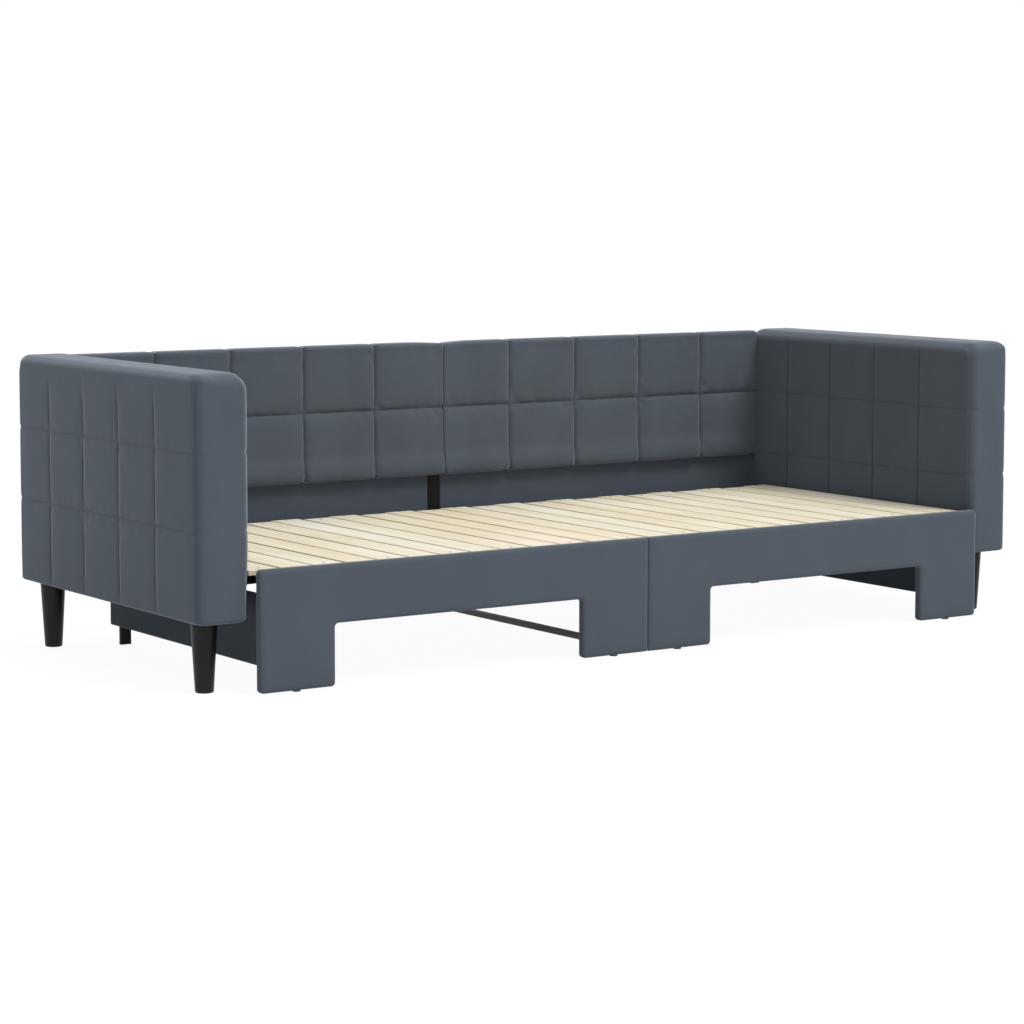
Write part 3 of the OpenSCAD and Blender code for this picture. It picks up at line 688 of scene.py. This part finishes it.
def arm_surface(low, high, seed):
    """The right arm: its two broad sides are quilted panels, and one plain band runs up its
    front, over its top and down its back. Seams sink below the panels and fade towards the top
    and bottom; where a level seam meets an upright edge it draws the edge in. A narrower
    crease, where panel and band are sewn together, runs round the rounded edges. The lower
    side is a rim folded under, with a flat inside above the closing board. Returns points,
    quads and how near each point is to a seam or to the crease, which the velvet darkens as
    painted shade."""
    s = sizes()
    lip = 0.0008
    inside_height = 0.0105
    crease_depth, crease_inset, crease_radius = 0.0009, 0.007, 0.026
    drawn_in, drawn_height, drawn_reach = 0.005, 0.17, 0.12
    columns = np.append(low[1], high[1] - s.arm_pitch * np.arange(s.arm_columns)[::-1])
    rows = np.array([low[2], high[2] - 2 * s.row_height, high[2] - s.row_height, high[2]])
    rim = high[0] - corners("arm_bases")[1][0]
    grid, flat, points, normals, quads = arm_block(low, high, columns, rows, [rim, rim + lip])
    x, y, z = flat.T
    on_panel = np.isin(grid[:, 0], (0, grid[:, 0].max()))
    outer = x > (low[0] + high[0]) / 2
    below = grid[:, 2] == 0
    to_side = np.minimum(x - low[0], high[0] - x)
    to_end = np.minimum(y - low[1], high[1] - y)
    to_column, to_row = gap_to(y, columns[1:-1]), gap_to(z, rows[1:-1])

    below_top = np.where(outer, step_up(high[2] - z, 0.025, 0.105),
                         step_up(high[2] - z, 0.012, 0.050))
    shown = below_top * step_up(z - low[2], -0.004, 0.024)
    level = 1.0 - np.tanh(to_row / 0.007)
    inside = step_up(to_end, 0.006, 0.026)
    valley = level * (1.0 - inside)
    for mask, offset in ((on_panel & outer, 0), (on_panel & ~outer, 1)):
        cell = quilt(y[mask], z[mask], columns, rows, seed + offset, 6.5, 0.4)
        # between crossings the level seams lie shallower, the inner side's lower one most
        shallow = bell(to_row[mask], 0.015) * np.tanh(to_column[mask] / 0.03)
        shallow *= 0.45 + 0.30 * offset * bell(z[mask] - rows[1], 0.02)
        valley[mask] += (1.0 - cell) * inside[mask] * (1.0 - shallow)
    valley[~on_panel] = (level * bell(to_side, 0.014))[~on_panel]
    valley[~on_panel & (to_end > 1e-6)] = 0.0

    # the creased frame reaches below the arm, so that it has no corners at the foot
    line = frame_line(y, z, (low[1], low[2] - 0.2), (high[1], high[2]), crease_radius)
    along_top = np.where(outer, 0.0, 0.35)
    crease = bell(line + crease_inset, 0.0032) * on_panel * (
        along_top + (1.0 - along_top) * bell(to_end, 0.030))
    full = cushion(across(y, columns[[0, -1]]), 12.0) * cushion(across(z, rows[[0, -1]]), 6.0)
    plain = cushion(across(x, [low[0], high[0]]), 3.0)
    height = s.arm_swell * (0.5 + 0.5 * np.where(on_panel, full, 0.8 * plain))
    height += s.inner_swell * np.clip(-normals[:, 0], 0.0, 1.0)
    height *= 1.0 - 0.6 * np.clip(normals[:, 2], 0.0, 1.0)
    height -= s.arm_seam_depth * valley * shown
    height -= crease_depth * crease
    height[below] = 0.0
    points = points + normals * (height * step_up(z, low[2] - 0.01, low[2] + 0.012))[:, None]

    # the cover is drawn in at its front foot, most on the inner side
    drawn = (step_up(low[2] + drawn_height - z, 0.0, 0.15)
             * step_up(low[1] + drawn_reach - y, 0.0, 0.12))
    points[:, 0] += drawn_in * drawn * np.clip((high[0] - x) / (high[0] - low[0]), 0.0, 1.0)
    under = below & (to_side > rim + lip / 2) & (to_end > rim + lip / 2)
    points[under, 2] = low[2] + inside_height
    # how near to a seam or the crease: the velvet darkens these places as painted shade
    seams = np.maximum(bell(to_column, 0.003), 0.5 * bell(to_row, 0.0026))
    return points, quads, np.maximum(seams * inside * shown, 0.35 * crease) * on_panel


class BED_OT_arms(bpy.types.Operator):
    """Two padded arms in quilted velvet"""

    bl_idname = "bed.arms"
    bl_label = "Quilted arms"

    def execute(self, context):
        low, high = corners("arm_right_cover")
        for side, sign in SIDES.items():
            quilted_piece(f"{side}_arm_velvet", f"arm_{side}_cover", sign,
                          arm_surface(low, high, 40 + 10 * sign))
        return {"FINISHED"}


# ---------- back ----------


# for each pad, where its upright seams are counted from, out from the middle, how far apart
# they are, and the width and the depth of its rounding where the two pads meet
PAD_SEAMS = {
    "right": {"first": 0.0015, "pitch": 0.2036, "turn_in": (0.020, 0.0070)},
    "left": {"first": -0.007, "pitch": 0.2005, "turn_in": (0.0055, 0.0050)},
}


def pad_surface(low, high, seed, first, pitch, turn_in):
    """The right back pad: a quilted front with rounded edges, whose seams sink below its cells,
    and a strip that folds back over the board behind, where the rear side steps back. Returns
    points, quads and how near each point is to a seam, which the velvet darkens as painted
    shade."""
    s = sizes()
    front_ease, top_ease, end_ease, foot_ease, rear_ease = 0.011, 0.011, 0.010, 0.024, 0.002
    below_arm_seam = 0.002
    fold_step = 0.0006
    board_low, board_high = corners("back_right_board")
    front_depth = board_low[1] - low[1]
    board_front = low[1] + front_depth
    fold = board_high[2]
    columns = np.concatenate([[low[0]], first + pitch * np.arange(1, s.back_columns), [high[0]]])
    level_seam = corners("arm_right_cover")[1][2] - s.row_height - below_arm_seam
    rows = np.array([low[2], level_seam, high[2]])
    cut_x = spaced(columns, end_reach=0.018)
    cut_y = np.linspace(low[1], board_front, 10)
    cut_z = np.union1d(spaced(rows, end_reach=0.014), [fold, fold + fold_step])
    grid, flat, quads = block_skin([cut_x, cut_y, cut_z])
    x, y, z = flat.T
    foot = 1.0 - step_up(z, low[2] + 0.024, low[2] + 0.070)
    ones = np.ones(len(flat))
    apart = step_up(x, low[0] + 0.004, low[0] + 0.030)
    front = turn_in[1] + (front_ease - turn_in[1] + 0.007 * foot) * apart
    points, normals = rounded(
        flat, low, np.array([high[0], board_front, high[2]]),
        np.stack([turn_in[0] * ones, front, foot_ease * ones], -1),
        np.stack([end_ease + 0.010 * foot, rear_ease * ones, top_ease * ones], -1))

    on_front = grid[:, 1] == 0
    to_top = high[2] - z
    to_column, to_row = gap_to(x, columns[1:-1]), gap_to(z, rows[1:-1])
    cell = quilt(x[on_front], z[on_front], columns, rows, seed, 6.0, 0.5)
    ends = np.minimum(high[0] - x, np.minimum(z - low[2], to_top))
    border = step_up(ends[on_front], 0.0, 0.032)
    border *= step_up(x[on_front] - low[0], 0.0, 0.028)
    # seams run out over the edges as notches, while the pad's own border keeps its height
    notch = bell(to_column, 0.007) + 0.8 * bell(to_row, 0.007)
    sunk = 0.25 * notch
    sunk[on_front] = (1.0 - cell) * border + 0.7 * notch[on_front] * (1.0 - border)
    height = -s.back_seam_depth * np.clip(sunk, 0.0, 1.0)
    full = cushion(across(x, columns[[0, -1]]), 6.0) * cushion(across(z, rows[[0, -1]]), 4.0)
    height += np.where(on_front, 0.002 * full + 0.0065 * foot, 0.0)
    points = points + normals * height[:, None]

    # the top sags a little where the pads meet, and its strip steps back over the board
    points[:, 2] -= bell(to_top, 0.03) * 0.0035 * bell(x - low[0], 0.05)
    behind = (grid[:, 1] == len(cut_y) - 1) & (z > fold + fold_step / 2)
    drop = high[1] - board_front
    points[behind, 1] = board_front + drop
    lid = (grid[:, 2] == len(cut_z) - 1) & ~behind
    points[lid, 1] += drop * 0.98 * step_up(y[lid], low[1] + 0.3 * front_depth, board_front)
    # the last value, how near to a seam, is darkened by the velvet as painted shade
    return points, quads, bell(np.minimum(to_column, to_row), 0.002) * on_front


class BED_OT_back(bpy.types.Operator):
    """Two quilted back pads and the wrapped boards behind them"""

    bl_idname = "bed.back"
    bl_label = "Quilted back"

    def execute(self, context):
        low, high = corners("back_right_pad")
        half_gap = low[0]
        for side, sign in SIDES.items():
            low[0] = sizes().pads_meet * sign + half_gap
            quilted_piece(f"{side}_back_pad_velvet", f"back_{side}_pad", sign,
                          pad_surface(low, high, 70 + 10 * sign, **PAD_SEAMS[side]))
            wrapped_board(f"{side}_back_board_velvet", f"back_{side}_board", "day_bed")
        return {"FINISHED"}


# ---------- wrapped boards ----------


def wrapped_board(name, node, body):
    """A board wrapped in velvet: a block with all its edges rounded."""
    low, high = corners(node)
    ease = sizes().board_ease
    cuts = [spaced([a, b], ease / 5, 0.030, ease, ease) for a, b in zip(low, high)]
    _, flat, quads = block_skin(cuts)
    soft = np.full((len(flat), 3), ease)
    points, _ = rounded(flat, low, high, soft, soft)
    piece(name, points, quads, "wrapped", body, [node], "velvet_board")


def rounded_outline(turns, inset, steps=8, least_radius=0.0012):
    """Points round an outline of upright and level sides, given anticlockwise as corners
    (x, z, radius) and drawn in by the inset: every side moves inwards by it, an outward corner
    loses it from its radius and an inward one gains it, and each corner becomes an arc that
    touches both of its sides."""
    places = np.array([t[:2] for t in turns])
    radii = np.array([t[2] for t in turns])
    ahead = np.roll(places, -1, axis=0) - places
    ahead /= np.linalg.norm(ahead, axis=1, keepdims=True)
    behind = np.roll(ahead, 1, axis=0)
    inward = np.stack([-ahead[:, 1] - behind[:, 1], ahead[:, 0] + behind[:, 0]], -1)
    outward_corner = behind[:, 0] * ahead[:, 1] - behind[:, 1] * ahead[:, 0] > 0
    places = places + inward * inset
    radii = np.where(outward_corner, np.maximum(radii - inset, least_radius), radii + inset)
    centre = places + radii[:, None] * (ahead - behind)
    turn = np.linspace(0.0, math.pi / 2, steps + 1)[None, :, None]
    arcs = centre[:, None] + radii[:, None, None] * (
        -np.cos(turn) * ahead[:, None] + np.sin(turn) * behind[:, None])
    return arcs.reshape(-1, 2)


def panel_surface(turns, front, back, width, depth, steps=7):
    """A flat board with its outline's edges rounded on both sides: rings follow the outline,
    drawn in by width (1 - cos t) and set back by depth (1 - sin t), t from 0 to 90 degrees,
    and one more ring lies flat before each face is closed. The rear edge is less round."""
    flat_inset = 1.05
    rear_width = 0.4 * width
    turn = np.linspace(0.0, math.pi / 2, steps + 1)
    insets = np.append(1.0 - np.cos(turn), flat_inset)
    depths = np.append(1.0 - np.sin(turn), 0.0)
    rings = [(width * i, front + depth * d) for i, d in zip(insets[::-1], depths[::-1])]
    rings += [(rear_width * i, back - depth * d) for i, d in zip(insets, depths)]
    points = []
    for inset, y in rings:
        flat = rounded_outline(turns, inset)
        points.append(np.stack([flat[:, 0], np.full(len(flat), y), flat[:, 1]], -1))
    around = np.arange(len(points[0]))
    faces = ring_faces(len(rings), len(around)).tolist()
    faces.append(around.tolist())
    faces.append((around[::-1] + (len(rings) - 1) * len(around)).tolist())
    return np.concatenate(points), faces


def front_panel_outline():
    """The right front panel seen from the front, anticlockwise, as corners with radii. The
    cut-out is the clear space that the record states between the feet, plus its margin, which
    is half as wide at the top."""
    low, high = corners("front_panel_right")
    space = [o for o in frame["record"]["physics"]["openings"] if o["name"] == "under_bed_right"]
    (cut_left, _, _), (cut_right, _, cut_top) = space[0]["box_m"]
    margin = 0.005
    cut_top -= margin / 2
    corner = 0.009
    seam = 0.005
    return [
        (low[0], low[2], seam),
        (cut_left - margin, low[2], corner),
        (cut_left - margin, cut_top + margin, corner),
        (cut_right + margin, cut_top + margin, corner),
        (cut_right + margin, low[2], corner),
        (high[0], low[2], corner),
        (high[0], high[2], corner),
        (low[0], high[2], seam),
    ]


class BED_OT_trundle_boards(bpy.types.Operator):
    """The pull-out frame's front panels and side boards, wrapped in velvet"""

    bl_idname = "bed.trundle_boards"
    bl_label = "Trundle boards"

    def execute(self, context):
        low, high = corners("front_panel_right")
        points, faces = panel_surface(front_panel_outline(), low[1], high[1],
                                      sizes().panel_ease, 0.0055)
        for side, sign in SIDES.items():
            piece(f"{side}_front_panel_velvet", *on_side(sign, points, faces), "wrapped",
                  "pull_out_frame", [f"front_panel_{side}"], "velvet_board")
            wrapped_board(f"{side}_side_board_velvet", f"side_board_{side}", "pull_out_frame")
        return {"FINISHED"}


# ---------- parts kept from the frame, with eased edges ----------


def per_face(obj, measure):
    """A measure of every face, such as its normal or its center, one row each."""
    values = np.empty(3 * len(obj.data.polygons))
    obj.data.polygons.foreach_get(measure, values)
    return values.reshape(-1, 3)


def eased(node, ease, finish):
    """A frame part with its long edges rounded: its triangles are merged into whole faces, and
    each sharp edge longer than a screw hole's facets gets a small round."""
    longest_facet = 0.009
    sharp = math.radians(35)
    mesh = frame["nodes"][node].data.copy()
    mesh.name = f"{node}_eased"
    work = bmesh.new()
    work.from_mesh(mesh)
    bmesh.ops.remove_doubles(work, verts=work.verts, dist=1e-5)
    bmesh.ops.dissolve_limit(work, angle_limit=math.radians(1.0), verts=work.verts,
                             edges=work.edges)
    long_edges = [e for e in work.edges
                  if e.calc_length() > longest_facet and e.calc_face_angle(0.0) > sharp]
    bmesh.ops.bevel(work, geom=long_edges, offset=ease, segments=2, profile=0.5,
                    affect="EDGES", clamp_overlap=True)
    bmesh.ops.triangulate(work, faces=[f for f in work.faces if len(f.verts) > 4])
    work.to_mesh(mesh)
    work.free()
    obj = settle(bpy.data.objects.new(f"{node}_piece", mesh), finish, BODY_OF[node], [node],
                 30)
    # only faces that turn away from the axes, the rounds and the holes, are shaded smooth
    mesh.polygons.foreach_set("use_smooth", np.abs(per_face(obj, "normal")).max(axis=1) < 0.999)
    return obj


def second_finish(obj, finish, chosen):
    """Gives the chosen faces of a piece another finish."""
    obj.data.materials.append(FINISHES[finish])
    obj.data.polygons.foreach_set("material_index", chosen.astype(np.int32))


class BED_OT_slats(bpy.types.Operator):
    """Planed slats whose side faces are darkened as painted shade of the gaps between them, fixed
    and moving in turn
    """

    bl_idname = "bed.slats"
    bl_label = "Slats"

    def execute(self, context):
        for node in BODY_OF:
            if "_slat_" in node and "screws" not in node:
                slat = eased(node, sizes().slat_ease, "pine")
                # painted shade: faces that turn to the sides, into the gaps between slats, get
                # the darker wood
                second_finish(slat, "sawn", np.abs(per_face(slat, "normal")[:, 0]) > 0.3)
        return {"FINISHED"}


# the steel parts and the share of the usual edge radius that each gets
STEEL_PARTS = {
    "centre_frame": 1.0, "front_beam": 1.0, "rear_beam": 1.0, "front_ledger": 1.0,
    "rear_rail": 1.0, "rear_posts": 1.0, "beam_brackets": 0.5, "back_plates": 0.5,
    "back_angles": 0.5, "corner_angles": 0.5, "panel_joint_plate": 0.5,
}


class BED_OT_steel(bpy.types.Operator):
    """Black steel tubes, brackets and plates; the centre frame's bar on the floor gets a paler
    coat as painted light
    """

    bl_idname = "bed.steel"
    bl_label = "Steelwork"

    def execute(self, context):
        for node in BODY_OF:
            if node in STEEL_PARTS:
                part = eased(node, sizes().metal_ease * STEEL_PARTS[node], "steel")
                if node == "centre_frame":
                    # painted light: the centre frame's faces near the floor get the paler coat
                    bar_top = corners(node)[0][2] + 0.04
                    second_finish(part, "scuffed", per_face(part, "center")[:, 2] < bar_top)
        return {"FINISHED"}


# ---------- legs ----------


def turned(profile, centre, around=64):
    """A closed turned shape: profile holds (radius, height) from the foot up, and is carried
    round the upright axis; both ends close on one point."""
    turn = np.linspace(0.0, 2 * math.pi, around, endpoint=False)
    radius, height = np.array(profile).T
    x = centre[0] + np.outer(radius, np.cos(turn))
    y = centre[1] + np.outer(radius, np.sin(turn))
    z = np.repeat(height[:, None], around, axis=1)
    ends = [[*centre, height[0]], [*centre, height[-1]]]
    points = np.concatenate([np.stack([x, y, z], -1).reshape(-1, 3), ends])
    # seen from the foot these rings run clockwise, so their quads are turned round
    faces = ring_faces(len(profile), around)[:, [0, 3, 2, 1]].tolist()
    here = np.arange(around)
    there = (here + 1) % around
    foot = len(points) - 2
    faces += np.stack([there, here, np.full(around, foot)], -1).tolist()
    last = (len(profile) - 1) * around
    faces += np.stack([last + here, last + there, np.full(around, foot + 1)], -1).tolist()
    return points, faces


def leg_profile(foot, top, height):
    """A straight taper with a small round at the foot and a finer one under the arm."""
    foot_round, top_round, flat_ring = 0.0035, 0.0012, 0.001
    turn = np.linspace(0.0, math.pi / 2, 7)
    low = [(foot - foot_round + foot_round * math.sin(t), foot_round * (1 - math.cos(t)))
           for t in turn]
    high = [(top - top_round * (1 - math.cos(t)), height - top_round * (1 - math.sin(t)))
            for t in turn]
    inner = [(top - top_round - flat_ring, height)]
    return [(foot - foot_round - flat_ring, 0.0)] + low + high + inner


class BED_OT_legs(bpy.types.Operator):
    """Four tapered legs"""

    bl_idname = "bed.legs"
    bl_label = "Legs"

    def execute(self, context):
        taper = 0.70
        for end in ("front", "rear"):
            for side in SIDES:
                node = f"leg_{end}_{side}"
                low, high = corners(node)
                middle = (low + high) / 2
                top = (high[0] - low[0]) / 2
                points, faces = turned(leg_profile(top * taper, top, high[2]), middle[:2])
                piece(f"{node}_turned", points, faces, "leg", "day_bed", [node], "black_leg", 50)
        return {"FINISHED"}


# ---------- small parts ----------


class BED_OT_small_parts(bpy.types.Operator):
    """Finishes for the frame parts that keep their own shape"""

    bl_idname = "bed.small_parts"
    bl_label = "Screws, bolts and inner parts"

    def execute(self, context):
        finish_of = {"screw_steel": "zinc", "timber": "timber", "black_board": "lining",
                     "black_plastic": "felt"}
        for part in frame["record"]["subparts"]:
            if part["material_slot"] in finish_of:
                finish = finish_of[part["material_slot"]]
                # painted shade: the slat screws get the darkened brown zinc
                if "slat_screws" in part["node"]:
                    finish = "yellow_zinc"
                obj = frame["nodes"][part["node"]]
                obj.data.materials.clear()
                obj.data.materials.append(FINISHES[finish])
        return {"FINISHED"}


# ---------- stage ----------


def seen_or_lit(tree, lit, seen, out):
    """Puts out one shader that lights the object, and another where the camera sees it,
    straight, in gloss or through glass."""
    rays = tree.nodes.new("ShaderNodeLightPath").outputs
    share = arithmetic(tree, "MAXIMUM", rays["Is Camera Ray"], rays["Is Glossy Ray"])
    share = arithmetic(tree, "MAXIMUM", share, rays["Is Transmission Ray"])
    mixed = tree.nodes.new("ShaderNodeMixShader")
    for output, socket in zip((share, lit.outputs[0], seen.outputs[0]), mixed.inputs):
        tree.links.new(output, socket)
    tree.links.new(mixed.outputs[0], out.inputs["Surface"])


def stage_material():
    """A pale floor that reads as white to the camera and keeps the object's shadow."""
    mat = bpy.data.materials.new("Pale floor")
    mat.use_nodes = True
    tree = mat.node_tree
    tree.nodes.clear()
    matt = add_node(tree, "ShaderNodeBsdfDiffuse", Color=(0.65, 0.65, 0.65, 1.0))
    shade = add_node(tree, "ShaderNodeBsdfDiffuse", Color=(0.06, 0.06, 0.06, 1.0))
    glow = add_node(tree, "ShaderNodeEmission", Color=(1.0, 1.0, 1.0, 1.0), Strength=0.95)
    white = tree.nodes.new("ShaderNodeAddShader")
    tree.links.new(shade.outputs[0], white.inputs[0])
    tree.links.new(glow.outputs[0], white.inputs[1])
    seen_or_lit(tree, matt, white, tree.nodes.new("ShaderNodeOutputMaterial"))
    return mat


def make_world():
    """Even studio light, brighter from above and in front, and plain white where it is seen."""
    brightest = Vector((0.24, -0.62, 0.75)).normalized()
    world = bpy.data.worlds.new("Studio")
    bpy.context.scene.world = world
    world.use_nodes = True
    tree = world.node_tree
    tree.nodes.clear()
    place = add_node(tree, "ShaderNodeTexCoord").outputs["Generated"]
    facing = add_node(tree, "ShaderNodeVectorMath", {"operation": "DOT_PRODUCT"}, Vector=place)
    facing.inputs[1].default_value = brightest
    strength = spread(tree, facing.outputs["Value"], -0.7, 1.0, 0.03, 0.80)
    light = add_node(tree, "ShaderNodeBackground", Strength=strength)
    white = add_node(tree, "ShaderNodeBackground", Color=(1.0, 1.0, 1.0, 1.0), Strength=1.0)
    seen_or_lit(tree, light, white, tree.nodes.new("ShaderNodeOutputWorld"))


def add_sun(name, heading, height, strength, softness):
    """A soft distant lamp. It shines from that compass heading (0 from the front, 90 from the
    right) and height above the floor, in degrees."""
    lamp = bpy.data.lights.new(name, "SUN")
    lamp.energy = strength
    lamp.angle = math.radians(softness)
    obj = bpy.data.objects.new(name, lamp)
    a = math.radians(heading)
    e = math.radians(height)
    towards = Vector((math.sin(a) * math.cos(e), -math.cos(a) * math.cos(e), math.sin(e)))
    obj.rotation_mode = "QUATERNION"
    obj.rotation_quaternion = towards.to_track_quat("Z", "Y")
    bpy.context.scene.collection.objects.link(obj)


# each lamp's heading, height, strength and softness
LAMPS = {
    "Key": (25.0, 57.0, 1.88, 26.0),
    "Top": (160.0, 75.0, 1.0, 40.0),
    "Fill": (-50.0, 22.0, 0.27, 80.0),
    "Rim": (152.0, 20.0, 0.6, 30.0),
}


class BED_OT_stage(bpy.types.Operator):
    """Camera, soft lamps, pale floor and white surroundings"""

    bl_idname = "bed.stage"
    bl_label = "Stage"

    def execute(self, context):
        scene = context.scene
        scene.view_settings.view_transform = "Standard"
        data = bpy.data.cameras.new("Camera")
        data.sensor_width = 36.0
        data.lens = 101.37
        data.shift_x = 0.0209
        data.shift_y = -0.0586
        camera = bpy.data.objects.new("Camera", data)
        camera.location = (-3.8812, -5.6156, 1.0528)
        camera.rotation_euler = (math.radians(84.715), 0.0, math.radians(-33.75))
        scene.collection.objects.link(camera)
        scene.camera = camera
        make_world()
        for name, lamp in LAMPS.items():
            add_sun(name, *lamp)
        reach = 60.0
        mesh = bpy.data.meshes.new("Floor")
        mesh.from_pydata([(-reach, -reach, 0), (reach, -reach, 0), (reach, reach, 0),
                          (-reach, reach, 0)], [], [(0, 1, 2, 3)])
        mesh.materials.append(stage_material())
        floor = bpy.data.objects.new("Floor", mesh)
        scene.collection.objects.link(floor)
        return {"FINISHED"}


# ---------- add-on ----------


OPERATORS = (
    BED_OT_stage,
    BED_OT_arms,
    BED_OT_back,
    BED_OT_trundle_boards,
    BED_OT_slats,
    BED_OT_legs,
    BED_OT_steel,
    BED_OT_small_parts,
)


class BED_PT_panel(bpy.types.Panel):
    """Lists the bed's sizes, colours and pieces"""

    bl_label = "Trundle bed"
    bl_idname = "BED_PT_panel"
    bl_space_type = "VIEW_3D"
    bl_region_type = "UI"
    bl_category = "Trundle bed"

    def draw(self, context):
        for group_name in ("bed_sizes", "bed_colours"):
            values = getattr(context.scene, group_name)
            column = self.layout.column()
            for key in values.__annotations__:
                column.prop(values, key)
        for operator in OPERATORS:
            self.layout.operator(operator.bl_idname)


CLASSES = (BedSizes, BedColours, *OPERATORS, BED_PT_panel)


def register():
    for cls in CLASSES:
        bpy.utils.register_class(cls)
    bpy.types.Scene.bed_sizes = bpy.props.PointerProperty(type=BedSizes)
    bpy.types.Scene.bed_colours = bpy.props.PointerProperty(type=BedColours)


def unregister():
    del bpy.types.Scene.bed_colours
    del bpy.types.Scene.bed_sizes
    for cls in reversed(CLASSES):
        bpy.utils.unregister_class(cls)


def main():
    register()
    FINISHES.update(make_materials())
    for operator in OPERATORS:
        family, name = operator.bl_idname.split(".")
        getattr(getattr(bpy.ops, family), name)()


if __name__ == "__main__":
    main()
